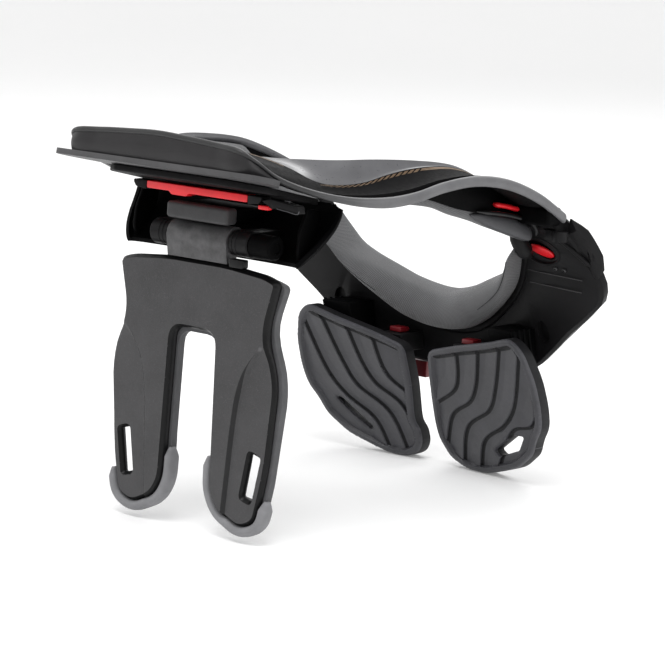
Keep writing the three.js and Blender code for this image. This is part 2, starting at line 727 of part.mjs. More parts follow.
function buttonFrame() {
  const { inner, outer, through } = frontFrame(rowPlace(buttonRow));
  const centre = inner.clone().lerp(outer, buttonShare);
  const long = outer.clone().sub(inner).projectOnPlane(through).normalize();
  const high = through.clone().cross(long);
  return { centre, long, high, through };
}

function ovalPrism(grow, from, to) {
  const { centre, long, high, through } = buttonFrame();
  const half = V2(buttonLength / 2 + grow, buttonHeight / 2 + grow);
  const outline = circle(1, 20).map((p) => p.multiply(half));
  const geometry = extrude(new THREE.Shape(outline), to - from);
  geometry.translate(0, 0, from);
  geometry.applyMatrix4(new THREE.Matrix4().makeBasis(long, high, through).setPosition(centre));
  return outward(geometry);
}

const button = () => ovalPrism(0, -buttonProud, buttonDepth - buttonProud);

function frontShell() {
  const pocketDepth = buttonDepth - buttonProud + buttonTravel + gap;
  const pocket = ovalPrism(gap, -buttonDepth, pocketDepth);
  const barrel = frontBarrel();
  const space = swingSpace(barrelSeam - gap);
  const wall = cut(frontWall(), space, mirrored(space), pocket, mirrored(pocket));
  return cut(join(wall, barrel, mirrored(barrel)), bore(), mirrored(bore()));
}

const closurePin = () => mirrored(uprightDisc(barrelPin, barrelFoot, barrelTop, 12));

// Release lever along the outer edge of a closure
const leverRows = { top: 8.93, foot: 6.5 };

function lever() {
  const seat = gap * 2;
  const rings = shares(9, rowPlace(leverRows.foot), rowPlace(leverRows.top)).map((u) => {
    const { outer, at } = frontFrame(u);
    const wide = frontThickness - 1;
    return [
      at(outer, 1, seat), at(outer, 1, leverThickness - 1), at(outer, 2, leverThickness),
      at(outer, wide - 1, leverThickness), at(outer, wide, leverThickness - 1), at(outer, wide, seat),
    ];
  });
  return fromSolid(largest(solid(cut(loft(rings), swingSpace(barrelFoot - barrelHalf), barrelArm(gap)))));
}

// Upper edge of the front neck pad, with the same shares as the front half's rows
const frontPadRows = [
  { row: 0, top: [0, 0.854, 0.602] }, { row: 1, top: [0.187, 0.735, 0.555] },
  { row: 2, top: [0.33, 0.61, 0.477] }, { row: 3, top: [0.432, 0.53, 0.398] },
  { row: 4, top: [0.478, 0.461, 0.331] }, { row: 5, top: [0.513, 0.371, 0.27] },
  { row: 6, top: [0.55, 0.273, 0.205] }, { row: 6.6, top: [0.578, 0.215, 0.17] },
];
// Section of that pad: share of the way from the wall's edge to the pad's top, share of its thickness
const frontPadSection = [
  [0, 0.1], [0.1, -0.12], [0.5, -0.2], [0.86, -0.05], [1, 0.25], [0.98, 0.7], [0.65, 1], [0, 0.92],
];

function frontPad() {
  const last = frontPadRows[frontPadRows.length - 1].row;
  const tops = mirroredCurve(frontPadRows.map(({ top }) => frontPoint(top)));
  const places = mirroredCurve(frontPadRows.map(({ row }) => V(row / last, 0, 0)));
  const rings = shares(37).map((share) => {
    const row = places.getPoint(share).x * last;
    const { inner, at } = frontFrame(rowPlace(row));
    const top = tops.getPoint(share);
    const foot = at(inner, 0, -gap * 2);
    return frontPadSection.map(([height, depth]) =>
      at(foot.clone().lerp(top, height), depth * frontPadThickness, 0));
  });
  return loft(rings);
}

// Chest pads are drawn in the XZ plane, as shares of their width and height from the inner
// foot, and then leaned back and turned inwards
const chestOutline = [
  [0.03, 0.80], [0.3, 0.87], [0.6, 0.935], [0.83, 1], [0.93, 0.92], [0.99, 0.73], [1, 0.56], [0.98, 0.42],
  [0.9, 0.31], [0.86, 0.22], [0.7, 0.1], [0.53, 0.045], [0.36, 0], [0.22, 0.01], [0.1, 0.07], [0.02, 0.19],
  [0, 0.3], [0, 0.45], [0, 0.65],
];
const chestSlot = [[0.78, 0.335], [0.67, 0.31], [0.5, 0.175], [0.57, 0.15], [0.71, 0.22]];
const chevrons = [
  [[0.32, 0.83], [0.28, 0.65], [0.23, 0.56], [0.06, 0.44]],
  [[0.53, 0.85], [0.44, 0.62], [0.36, 0.5], [0.17, 0.38], [0.08, 0.22]],
  [[0.72, 0.89], [0.62, 0.63], [0.53, 0.47], [0.29, 0.31], [0.2, 0.09]],
  [[0.86, 0.8], [0.76, 0.52], [0.64, 0.38], [0.43, 0.24], [0.35, 0.07]],
];

const chestPoint = ([across, up]) => V2(chestPadGap / 2 + across * chestPadWidth, up * chestPadHeight);

function lean(geometry) {
  const yaw = Math.tan(rad(chestPadYaw));
  const pitch = Math.tan(rad(chestPadPitch));
  const start = chestPadReach + yaw * chestPadGap / 2 + pitch * chestOutline[0][1] * chestPadHeight;
  const shear = new THREE.Matrix4().set(1, 0, 0, 0, -yaw, 1, -pitch, start, 0, 0, 1, 0, 0, 0, 0, 1);
  return geometry.applyMatrix4(shear);
}

function chestPad() {
  const outline = chestOutline.map(chestPoint).reverse();
  const centre = chestPoint([0.5, 0.48]);
  const inner = outline.map((p) => p.clone().sub(centre).multiplyScalar(0.9).add(centre));
  const border = roundedShape(outline, chestRounding);
  border.holes.push(new THREE.Path(inner));
  const base = uprightPlate(roundedShape(outline, chestRounding), 0, chestPadThickness, 2);
  const ridges = chevrons.map((line) => {
    const points = line.map(chestPoint);
    const shift = V2(0.82, -0.57).multiplyScalar(chevronHalf);
    const upper = points.map((p) => p.clone().add(shift));
    const lower = points.map((p) => p.clone().sub(shift)).reverse();
    return uprightPlate(new THREE.Shape([...upper, ...lower]), -chestRim * 0.7, chestRim / 4);
  });
  const rim = uprightPlate(border, -chestRim, chestRim / 4, 2);
  const opening = roundedShape(chestSlot.map(chestPoint), chestSlotRounding);
  const slot = uprightPlate(opening, -chestPadThickness * 2, chestPadThickness * 3, 2);
  return lean(cut(join(base, rim, ...ridges), slot));
}

// Space behind and above the chest pads' rear faces, used to trim the brackets
function chestBack() {
  const low = V(-chestPadGap, -chestPadHeight, -frontReach);
  return lean(boxFrom(low, V(chestPadWidth * 1.4, chestPadThickness + gap, chestPadHeight * 1.6)));
}

// Bracket between a chest pad and the front wall, round a point of the pad
function bracket([across, up], width, height) {
  const p = chestPoint([across, up]);
  const low = V(p.x - width / 2, chestPadReach - frontReach, p.y - height / 2);
  const high = V(p.x + width / 2, seamY + frontReach, p.y + height / 2);
  const blank = solid(boxFrom(low, high)).subtract(solid(chestBack())).subtract(solid(frontWall(gap * 2)));
  return fromSolid(largest(blank));
}

const outerBracketAt = [0.66, 0.9];
const innerBracketAt = [0.26, 0.79];
const innerBracketHeight = bracketHeight / 2;
const outerBracket = () => bracket(outerBracketAt, bracketWidth, bracketHeight);
const innerBracket = () => bracket(innerBracketAt, bracketWidth * 0.8, innerBracketHeight);

// Red clip on top of each inner bracket
function topClip() {
  const p = chestPoint(innerBracketAt);
  const foot = p.y + innerBracketHeight / 2 + gap;
  const back = chestPadReach + topClipHeight * 2;
  const low = V(p.x - clipLength / 2, back, foot);
  return boxFrom(low, V(p.x + clipLength / 2, back + clipDepth * 2, foot + topClipHeight));
}

// Red clip that hangs under the front wall beside the middle
function lowerClip() {
  const { outer } = frontFrame(rowPlace(1));
  const back = outer.y + (frontThickness - clipDepth) / 2;
  const low = V(outer.x - clipLength / 2, back, outer.z - clipHeight);
  return boxFrom(low, V(outer.x + clipLength / 2, back + clipDepth, outer.z - gap));
}

// Red tab that lies on the flap of the rear pad
function armTab() {
  const u = rowPlaceAlongArm(12.85);
  const away = awayFrom(crestCurve, u);
  const centre = offset(crestCurve.getPoint(u), away, 2, 0).setZ(headCurve.getPoint(u).z - collarWall);
  const half = V2(tabWidth / 2, tabLength / 2);
  const outline = [V2(-half.x, -half.y), V2(half.x, -half.y), half, V2(-half.x, half.y)];
  const tab = extrude(roundedShape(outline, tabWidth / 3), tabHeight).rotateX(-rad(tabPitch));
  return tab.translate(centre.x, centre.y, centre.z + gap + tabRise);
}

const pair = (name, geometry, look) => [
  mesh(`${name}_right`, geometry, look),
  mesh(`${name}_left`, mirrored(geometry), look),
];

const rearHalf = [
  mesh('deck', deck(), black),
  mesh('rim_bead', rimBead(), grey),
  mesh('collar', collar(), grey),
  mesh('rear_pad', rearPad(), meshGrey),
  mesh('rear_wall', rearWall(), black),
  mesh('rear_flange', flange(), grey),
  mesh('slider_plate', slider(), grey),
  mesh('lock_bar', lockBar(), red),
  ...pair('lock_end', lockEnd(), grey),
  mesh('shell', shell(), black),
  ...pair('hinge_lug', lug(), black),
  mesh('hinge_pin', hingePin(), steel),
  mesh('angle_wedge', wedge(), grey),
  ...pair('arm_block', armBlock(), black),
  ...pair('arm_tab', armTab(), red),
  mesh('closure_pin', closurePin(), steel),
];

const strut = new THREE.Group();
strut.position.set(0, hingeReach, hingeHeight);
strut.rotation.x = -rad(strutLean);
strut.add(
  mesh('strut_hinge', hingeBlock(), softBlack),
  mesh('strut_plate', strutPlate(), softBlack),
  mesh('strut_pad', strutPad(), grey),
);

const frontHalf = [
  mesh('front_shell', frontShell(), black),
  mesh('front_pad', frontPad(), meshGrey),
  ...pair('lever', lever(), black),
  ...pair('button', button(), red),
  ...pair('chest_pad', chestPad(), grey),
  ...pair('outer_bracket', outerBracket(), black),
  ...pair('inner_bracket', innerBracket(), black),
  ...pair('top_clip', topClip(), red),
  ...pair('lower_clip', lowerClip(), red),
];

// The brace leans until the strut tips and the chest pads stand level
function lowest(object) {
  const point = V(0, 0, 0);
  const best = V(0, 0, Infinity);
  object.traverse((m) => {
    if (!m.isMesh) return;
    const p = m.geometry.getAttribute('position');
    for (let i = 0; i < p.count; i += 1) {
      point.fromBufferAttribute(p, i).applyMatrix4(m.matrixWorld);
      if (point.z < best.z) best.copy(point);
    }
  });
  return best;
}

const body = new THREE.Group();
const front = new THREE.Group();
front.add(...frontHalf);
body.add(...rearHalf, strut, front);
for (let pass = 0; pass < 6; pass += 1) {
  body.updateMatrixWorld(true);
  const [rear, ahead] = [lowest(strut), lowest(front)];
  body.rotation.x -= Math.atan2(ahead.z - rear.z, ahead.y - rear.y);
}
body.updateMatrixWorld(true);
const box = new THREE.Box3().setFromObject(body, true);
body.position.set(0, -(box.min.y + box.max.y) / 2, -box.min.z);

const group = new THREE.Group();
group.add(body);

export default group;
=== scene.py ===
import json
import math
from functools import partial

import bmesh
import bpy
import numpy as np
from mathutils import Matrix, Vector
from mathutils.geometry import delaunay_2d_cdt
from mathutils.kdtree import KDTree


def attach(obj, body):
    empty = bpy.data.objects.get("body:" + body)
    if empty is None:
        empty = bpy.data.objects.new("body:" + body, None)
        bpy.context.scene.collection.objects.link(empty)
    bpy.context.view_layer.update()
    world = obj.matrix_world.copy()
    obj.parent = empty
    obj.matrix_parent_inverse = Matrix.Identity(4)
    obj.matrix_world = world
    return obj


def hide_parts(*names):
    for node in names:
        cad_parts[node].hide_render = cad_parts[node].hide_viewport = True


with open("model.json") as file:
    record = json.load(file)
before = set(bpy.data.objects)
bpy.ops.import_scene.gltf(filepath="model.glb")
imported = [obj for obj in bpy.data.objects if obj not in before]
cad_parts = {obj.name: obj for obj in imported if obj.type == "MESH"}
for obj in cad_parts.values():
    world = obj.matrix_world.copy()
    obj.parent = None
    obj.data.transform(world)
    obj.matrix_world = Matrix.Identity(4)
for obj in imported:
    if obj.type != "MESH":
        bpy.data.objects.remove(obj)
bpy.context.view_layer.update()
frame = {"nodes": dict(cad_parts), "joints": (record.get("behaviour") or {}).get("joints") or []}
MM = 0.001

# The brace is drawn in millimetres in its own frame: x to the wearer's right, y forward from the
# strut plane, z up from the strut tips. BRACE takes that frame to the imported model's frame.
joints = {j["name"]: j for j in frame["joints"]}
swing = Vector(joints["front_swing"]["axis"])
TURN = Matrix.Rotation(math.atan2(-swing.y, swing.z), 4, "X")
HINGE = Vector((0, 7, 177))
BRACE = Matrix.Translation(Vector(joints["strut_fold"]["pos_m"]) - TURN @ (HINGE * MM)) @ TURN @ Matrix.Scale(MM, 4)

UP = Vector((0, 0, 1))
SIDES = {1: "right", -1: "left"}
REAR_BODY, STRUT_BODY, FRONT_BODY = "rear_half", "rear_strut", "front_half"

# Sizes shared with the solids
ARM_HALF, REAR, ARM_REACH, DECK_TOP, RIM_FALL = 128.0, 44.0, 216.0, 245.0, 50.0
FRONT_HALF, FRONT_REACH, FRONT_DROP, SEAM_GAP = 139.0, 56.0, 118.0, 1.2
DECK_WALL, COLLAR_WALL, RIM_R = 3.0, 2.6, 2.6
FLANGE_TOP, SLOPE = 227.0, math.tan(math.radians(11.3))
SLIDER_FOOT_GAP = 7.9
STRUT_HALF, STRUT_LENGTH, STRUT_TOP, STRUT_LEAN = 67.5, 157.5, -19.5, math.radians(1.4)
STRUT_BACK, STRUT_THICK = -7.0, 6.0
FRONT_PAD = 13.0
CHEST_W, CHEST_H, CHEST_T, CHEST_GAP = 99.0, 107.0, 6.0, 12.0
CHEST_PITCH, CHEST_YAW, CHEST_REACH = math.radians(21.8), math.radians(5.0), 234.6

# Points round the section of both neck pads
PAD_SIDES = 28


def lerp(a, b, t):
    return a + (b - a) * t


def clamp(x):
    return max(0.0, min(1.0, x))


def smooth(low, high, x):
    t = clamp((x - low) / (high - low))
    return t * t * (3 - 2 * t)


class Curve:
    """Centripetal curve through points, with its parameter even over the points."""

    def __init__(self, points):
        self.points = [Vector(p) for p in points]

    def at(self, u):
        p = self.points
        last = len(p) - 1
        place = clamp(u) * last
        k = min(last - 1, int(place))
        w = place - k
        b, c = p[k], p[k + 1]
        a = p[k - 1] if k else b * 2 - c
        d = p[k + 2] if k + 2 <= last else c * 2 - b
        t1 = max(1e-4, (c - b).length_squared ** 0.25)
        t0 = (b - a).length_squared ** 0.25 or t1
        t2 = (d - c).length_squared ** 0.25 or t1
        m1 = ((b - a) / t0 - (c - a) / (t0 + t1) + (c - b) / t1) * t1
        m2 = ((c - b) / t1 - (d - b) / (t1 + t2) + (d - c) / t2) * t1
        return b + m1 * w + (c * 3 - b * 3 - m1 * 2 - m2) * w ** 2 + (b * 2 - c * 2 + m1 + m2) * w ** 3


def mirrored_curve(points):
    right = [Vector(p) for p in points]
    return Curve([Vector((-p.x, p.y, p.z)) for p in reversed(right[1:])] + right)


# Stations of the rear half from the rear centre to a closure: its rim, the deck's inner edge and the collar's
# crest, each as shares of its half width, length and fall, and then the fall of the pad's foot and head
STATIONS = [
    ((0, 0, 0), (0, 0.208, 0.22), (0, 0.246, 0.30), 0.64, 0.36),
    ((0.188, 0, 0.02), (0.172, 0.208, 0.23), (0.156, 0.25, 0.30), 0.64, 0.36),
    ((0.375, 0, 0.05), (0.344, 0.22, 0.30), (0.297, 0.273, 0.30), 0.65, 0.36),
    ((0.548, 0.001, 0.10), (0.47, 0.235, 0.40), (0.42, 0.304, 0.29), 0.66, 0.36),
    ((0.602, 0.034, 0.22), (0.547, 0.25, 0.49), (0.516, 0.335, 0.28), 0.68, 0.36),
    ((0.628, 0.1, 0.42), (0.6, 0.273, 0.54), (0.578, 0.369, 0.27), 0.71, 0.35),
    ((0.69, 0.2, 0.6), (0.648, 0.315, 0.55), (0.625, 0.412, 0.26), 0.75, 0.34),
    ((0.773, 0.273, 0.67), (0.688, 0.369, 0.52), (0.664, 0.462, 0.26), 0.79, 0.34),
    ((0.844, 0.369, 0.68), (0.711, 0.438, 0.44), (0.688, 0.515, 0.27), 0.83, 0.35),
    ((0.875, 0.465, 0.63), (0.727, 0.515, 0.38), (0.699, 0.573, 0.29), 0.86, 0.37),
    ((0.898, 0.562, 0.52), (0.734, 0.596, 0.36), (0.703, 0.638, 0.32), 0.91, 0.42),
    ((0.93, 0.665, 0.46), (0.734, 0.685, 0.39), (0.699, 0.712, 0.38), 1.02, 0.52),
    ((0.961, 0.777, 0.52), (0.727, 0.785, 0.52), (0.688, 0.796, 0.51), 1.12, 0.76),
    ((0.984, 0.896, 0.72), (0.711, 0.896, 0.71), (0.664, 0.896, 0.72), 1.26, 1.0),
    ((1, 1, 1), (0.703, 1, 0.98), (0.648, 1, 0.99), 1.38, 1.16),
]


def deck_z(fall):
    return DECK_TOP - fall * RIM_FALL


def station_point(share):
    return (share[0] * ARM_HALF, share[1] * (REAR + ARM_REACH) - REAR, deck_z(share[2]))


RIM = mirrored_curve([station_point(s[0]) for s in STATIONS])
EDGE = mirrored_curve([station_point(s[1]) for s in STATIONS])
CREST = mirrored_curve([station_point(s[2]) for s in STATIONS])
FOOT = mirrored_curve([station_point((s[2][0], s[2][1], s[3])) for s in STATIONS])
HEAD = mirrored_curve([station_point((s[2][0], s[2][1], s[4])) for s in STATIONS])

# Front half from the middle to a closure: inner edge, outer edge, tilt of its thickness in degrees
FRONT_ROWS = [
    ((0, 0.93, 0.84), (0, 1, 1.08), 12),
    ((0.2, 0.88, 0.8), (0.22, 0.98, 1.07), 12),
    ((0.36, 0.75, 0.68), (0.43, 0.89, 1.045), 15),
    ((0.49, 0.61, 0.53), (0.575, 0.8, 0.97), 20),
    ((0.547, 0.5, 0.42), (0.79, 0.645, 0.745), 25),
    ((0.583, 0.39, 0.325), (0.978, 0.48, 0.52), 30),
    ((0.61, 0.3, 0.24), (0.985, 0.445, 0.42), 38),
    ((0.633, 0.21, 0.17), (0.955, 0.36, 0.31), 50),
    ((0.65, 0.1, 0.12), (0.92, 0.18, 0.175), 70),
    ((0.655, 0, 0.105), (0.887, 0, 0.088), 90),
]


def front_point(share):
    return (share[0] * FRONT_HALF, ARM_REACH + SEAM_GAP + share[1] * FRONT_REACH, deck_z(1) - share[2] * FRONT_DROP)


INNER = mirrored_curve([front_point(r[0]) for r in FRONT_ROWS])
OUTER = mirrored_curve([front_point(r[1]) for r in FRONT_ROWS])


def front_frame(u):
    place = abs(u - 0.5) * 2 * (len(FRONT_ROWS) - 1)
    k = min(len(FRONT_ROWS) - 2, int(place))
    tilt = math.radians(lerp(FRONT_ROWS[k][2], FRONT_ROWS[k + 1][2], place - k))
    inner, outer = INNER.at(u), OUTER.at(u)
    return inner, outer, Vector((0, math.cos(tilt), math.sin(tilt))), (outer - inner).normalized()


def row_place(row):
    return 0.5 + row / (len(FRONT_ROWS) - 1) / 2


def away(curve, u):
    """Unit vector in plan that points away from the neck."""
    along = curve.at(min(1, u + 0.004)) - curve.at(max(0, u - 0.004))
    along.z = 0
    along.normalize()
    return Vector((along.y, -along.x, 0))


def shares(count, low=0.0, high=1.0):
    return [lerp(low, high, i / (count - 1)) for i in range(count)]


def turns(sides):
    """Angles of the points of a closed ring."""
    return [2 * math.pi * k / sides for k in range(sides)]


def boxy(value, power):
    """A sine or cosine raised to a power below 1, which squares off a round section."""
    return math.copysign(abs(value) ** power, value)


def oval_ring(centre, across, up, sides, power=1.0):
    """Ring round a centre with two half axes; a power below 1 squares it off."""
    return [centre + across * boxy(math.cos(a), power) + up * boxy(math.sin(a), power) for a in turns(sides)]


# Meshes

def finish_mesh(name, bm, sharp=35, place=BRACE):
    bmesh.ops.recalc_face_normals(bm, faces=bm.faces)
    data = bpy.data.meshes.new(name)
    bm.to_mesh(data)
    bm.free()
    data.transform(place)
    data.shade_smooth()
    data.set_sharp_from_angle(angle=math.radians(sharp))
    obj = bpy.data.objects.new(name, data)
    bpy.context.scene.collection.objects.link(obj)
    return obj


def loft(name, rings, closed=True, sharp=35, place=BRACE):
    """Skin through rings of equal count, with end faces if they are closed; UVs hold metres along and across."""
    bm = bmesh.new()
    uv = bm.loops.layers.uv.verify()
    count = len(rings[0])
    centres = [sum(ring, Vector()) / count for ring in rings]
    along = [0.0]
    for a, b in zip(centres, centres[1:]):
        along.append(along[-1] + (b - a).length)
    middle = rings[len(rings) // 2]
    across = [0.0]
    for k in range(count):
        across.append(across[-1] + (middle[(k + 1) % count] - middle[k]).length)
    verts = [[bm.verts.new(p) for p in ring] for ring in rings]
    for i in range(len(rings) - 1):
        for k in range(count if closed else count - 1):
            n = (k + 1) % count
            face = bm.faces.new((verts[i][k], verts[i][n], verts[i + 1][n], verts[i + 1][k]))
            for loop, (a, b) in zip(face.loops, ((i, k), (i, k + 1), (i + 1, k + 1), (i + 1, k))):
                loop[uv].uv = (along[a] * MM, across[b] * MM)
    if closed:
        bm.faces.new(verts[0])
        bm.faces.new(list(reversed(verts[-1])))
    return finish_mesh(name, bm, sharp, place)


def rounded_outline(points, radii, steps=6):
    """Outline with its corners rounded by curves that reach radii along each side."""
    out = []
    for k, p in enumerate(points):
        p = Vector(p)
        a, b = Vector(points[k - 1]), Vector(points[(k + 1) % len(points)])
        r = radii[k] if isinstance(radii, (list, tuple)) else radii
        reach = min(r, (p - a).length / 2.1, (p - b).length / 2.1)
        start, end = p + (a - p).normalized() * reach, p + (b - p).normalized() * reach
        for i in range(steps + 1):
            t = i / steps
            out.append(start * (1 - t) ** 2 + p * 2 * t * (1 - t) + end * t ** 2)
    return out


def swept(name, section, count, sharp=35, low=0.0, high=1.0, closed=True):
    """Skin through the sections at even shares of a length."""
    return loft(name, [section(t) for t in shares(count, low, high)], closed, sharp)


def upright(p, depth):
    """Place of a flat point that stands across y."""
    return Vector((p.x, depth, p.y))


def prism(name, outline, low, high, to3d=upright, sharp=40, place=BRACE):
    """Closed prism over a flat outline; to3d(point, depth) places its points."""
    bm = bmesh.new()
    near, far = [[bm.verts.new(to3d(p, depth)) for p in outline] for depth in (low, high)]
    bm.faces.new(near)
    bm.faces.new(list(reversed(far)))
    for k in range(len(outline)):
        n = (k + 1) % len(outline)
        bm.faces.new((near[k], near[n], far[n], far[k]))
    return finish_mesh(name, bm, sharp, place)


def applied(obj):
    """Bakes the modifiers of obj into its mesh."""
    bpy.context.view_layer.update()
    shape = obj.evaluated_get(bpy.context.evaluated_depsgraph_get())
    data = bpy.data.meshes.new_from_object(shape)
    obj.modifiers.clear()
    obj.data = data
    return obj


def bevelled(obj, width, segments=3, angle=30):
    """Rounds the edges of obj by width in millimetres."""
    mod = obj.modifiers.new("bevel", "BEVEL")
    mod.width = width * MM
    mod.segments = segments
    mod.limit_method = "ANGLE"
    mod.angle_limit = math.radians(angle)
    applied(obj)
    obj.data.shade_smooth()
    obj.data.set_sharp_from_angle(angle=math.radians(40))
    return obj


def carve(obj, cutter):
    """Cuts the cutter out of obj and removes it."""
    mod = obj.modifiers.new("carve", "BOOLEAN")
    mod.operation = "DIFFERENCE"
    mod.solver = "EXACT"
    mod.object = cutter
    applied(obj)
    bpy.data.objects.remove(cutter)


def reshaped(obj, change, place=BRACE):
    """Moves each vertex to change(point), in the millimetres of place."""
    back = place.inverted()
    for v in obj.data.vertices:
        v.co = place @ change(back @ v.co)


def middle_of(obj):
    """Mean point of a mesh, in metres."""
    return sum((v.co for v in obj.data.vertices), Vector()) / len(obj.data.vertices)


def cad_copy(node, name):
    """Copy of a CAD node's mesh with its flat faces merged, ready for rounding."""
    bm = bmesh.new()
    bm.from_mesh(frame["nodes"][node].data)
    bmesh.ops.remove_doubles(bm, verts=bm.verts, dist=1e-6)
    bmesh.ops.dissolve_limit(bm, angle_limit=math.radians(1.5), verts=bm.verts, edges=bm.edges)
    return finish_mesh(name, bm, 35, Matrix.Identity(4))


def inside(x, y, outline):
    """Which of many flat points lie inside an outline."""
    hit = np.zeros(len(x), bool)
    for k in range(len(outline)):
        a, b = outline[k - 1], outline[k]
        if a.y != b.y:
            hit ^= ((a.y > y) != (b.y > y)) & (x < (b.x - a.x) * (y - a.y) / (b.y - a.y) + a.x)
    return hit


def signed_gap(x, y, line):
    """Distances of many flat points to a polyline, positive on its left."""
    best, side = np.full(len(x), 1e9), np.ones(len(x))
    for a, b in zip(line, line[1:]):
        dx, dy = b.x - a.x, b.y - a.y
        t = np.clip(((x - a.x) * dx + (y - a.y) * dy) / (dx * dx + dy * dy), 0, 1)
        gap = np.hypot(x - a.x - t * dx, y - a.y - t * dy)
        side = np.where(gap < best, np.sign(dx * (y - a.y) - dy * (x - a.x)), side)
        best = np.minimum(gap, best)
    return best * side


def ease(low, high, x):
    """The smooth step of many values."""
    t = np.clip((x - low) / (high - low), 0, 1)
    return t * t * (3 - 2 * t)


def rounded_in(gap, reach):
    """How far a rounded edge lies behind its face, at distances from the border."""
    return reach * (1 - np.sqrt(np.clip(1 - (1 - np.minimum(gap, reach) / reach) ** 2, 0, 1)))


def resampled(points, spacing, closed=True):
    """Points at about even spacing along a polyline or outline."""
    ends = list(zip(points, points[1:] + points[:1])) if closed else list(zip(points, points[1:]))
    out = []
    for a, b in ends:
        steps = max(1, round((b - a).length / spacing))
        out += [a.lerp(b, i / steps) for i in range(steps)]
    return out if closed else out + [points[-1]]


def tree_of(points):
    tree = KDTree(len(points))
    for k, q in enumerate(points):
        tree.insert((q.x, q.y, 0), k)
    tree.balance()
    return tree


def gaps(points, tree):
    return np.array([tree.find((q.x, q.y, 0))[2] for q in points])


def xy(points):
    return np.array([q.x for q in points]), np.array([q.y for q in points])


def kept(points, loops):
    """Which points lie on the plate: inside the first loop, its outline, and outside the others, its holes."""
    x, y = xy(points)
    here = inside(x, y, loops[0])
    for hole in loops[1:]:
        here &= ~inside(x, y, hole)
    return here


def chosen(points, flags):
    return [q for q, flag in zip(points, flags) if flag]


def grid_points(outline, spacing):
    """Points in staggered rows over the box of an outline."""
    low, high = [Vector((pick(q.x for q in outline), pick(q.y for q in outline))) for pick in (min, max)]
    row_step = spacing * 0.87
    rows, columns = int((high.y - low.y) / row_step) + 1, int((high.x - low.x) / spacing) + 2
    return [low + Vector(((c + 0.5 * (r % 2)) * spacing, r * row_step)) for r in range(rows) for c in range(columns)]


def middles(points, faces):
    return [sum((points[i] for i in face), Vector((0, 0))) / len(face) for face in faces]


def plate_points(loops, spacing, lines):
    """Border points, points along the feature lines with a grid between them, and a tree of the border."""
    def cleared(points, *trees):
        points = chosen(points, kept(points, loops))
        for tree in trees:
            points = chosen(points, gaps(points, tree) > spacing * 0.6)
        return points

    border = [q for loop in loops for q in loop]
    tree = tree_of(border)
    seeds = cleared([q for line in lines for q in resampled(line, spacing, False)], tree)
    grid = cleared(grid_points(loops[0], spacing), tree, tree_of(seeds))
    return border, seeds + grid, tree


def field_plate(name, outline, holes, spacing, height, depth, to3d, lines, tones, sharp=40, place=BRACE):
    """Plate over an outline with holes: its front follows height(x, y, gap), its back lies at depth.

    gap is the distance to the nearest border. The mesh follows lines. tones(middles) gives the material
    indices of the front's faces, and the sides get the second material."""
    loops = [resampled(loop, spacing) for loop in [outline] + holes]
    border, inner, tree = plate_points(loops, spacing, lines)
    edges, first = [], 0
    for loop in loops:
        edges += [(first + k, first + (k + 1) % len(loop)) for k in range(len(loop))]
        first += len(loop)
    points, _, faces, source, *_ = delaunay_2d_cdt(border + inner, edges, [], 1, 1e-5)
    out = {i: k for k, ids in enumerate(source) for i in ids}
    gap = gaps(points, tree)
    for i in range(len(border)):
        gap[out[i]] = 0.0
    bm = bmesh.new()
    front = [bm.verts.new(to3d(q, h)) for q, h in zip(points, height(*xy(points), gap))]
    back = [bm.verts.new(to3d(q, depth)) for q in border]
    centres = middles(points, faces)
    for face, flag, tone in zip(faces, kept(centres, loops), tones(centres)):
        if flag:
            bm.faces.new([front[i] for i in face]).material_index = int(tone)
    for a, b in edges:
        bm.faces.new((front[out[a]], front[out[b]], back[b], back[a])).material_index = 1
    points, _, faces, source, *_ = delaunay_2d_cdt(border, edges, [], 1, 1e-5)
    for face, flag in zip(faces, kept(middles(points, faces), loops)):
        if flag:
            bm.faces.new([back[source[i][0]] for i in face])
    return finish_mesh(name, bm, sharp, place)


def smooth_line(points, count=40):
    """Flat polyline smoothed through its points."""
    curve = Curve([(x, y, 0) for x, y in points])
    return [curve.at(t).to_2d() for t in shares(count)]


def step_at(path, k):
    """Step of a path at one of its points, from the one before it to the one after."""
    return path[min(k + 1, len(path) - 1)] - path[max(k - 1, 0)]


def offset_line(line, by):
    """Line at a distance to the left of a flat line."""
    steps = [step_at(line, k) for k in range(len(line))]
    return [q + Vector((-step.y, step.x)).normalized() * by for q, step in zip(line, steps)]


def tube_rings(path, radius, sides=12, flat_share=1.0):
    """Rings round a path; radius may be a number or a function of the share along it."""
    rings = []
    for k, p in enumerate(path):
        along = step_at(path, k).normalized()
        across = along.cross(UP).normalized()
        r = radius(k / (len(path) - 1)) if callable(radius) else radius
        rings.append(oval_ring(p, across * r, across.cross(along) * (r * flat_share), sides))
    return rings


def tube(name, points, radius, flat_share=1.0, count=60):
    curve = Curve(points)
    path = [curve.at(t) for t in shares(count)]
    return loft(name, tube_rings(path, radius, flat_share=flat_share), sharp=60)


def tapering(radius, tip, rate, power=1.0, end=1.0):
    """Radius at each share along a tube: it grows from a share of itself at the tips, at a rate."""
    return lambda t: radius * clamp(tip + rate * min(t, end - t)) ** power


def spun(name, profile, centre, axis, sides=28):
    """Piece turned about an axis: profile holds distances along it and radii."""
    aside = axis.orthogonal().normalized()
    other = axis.cross(aside)
    return loft(name, [oval_ring(centre + axis * along, aside * radius, other * radius, sides)
                       for along, radius in profile], sharp=40)


def mirrored(points, side):
    return [Vector((side * p[0], p[1], p[2])) for p in points]


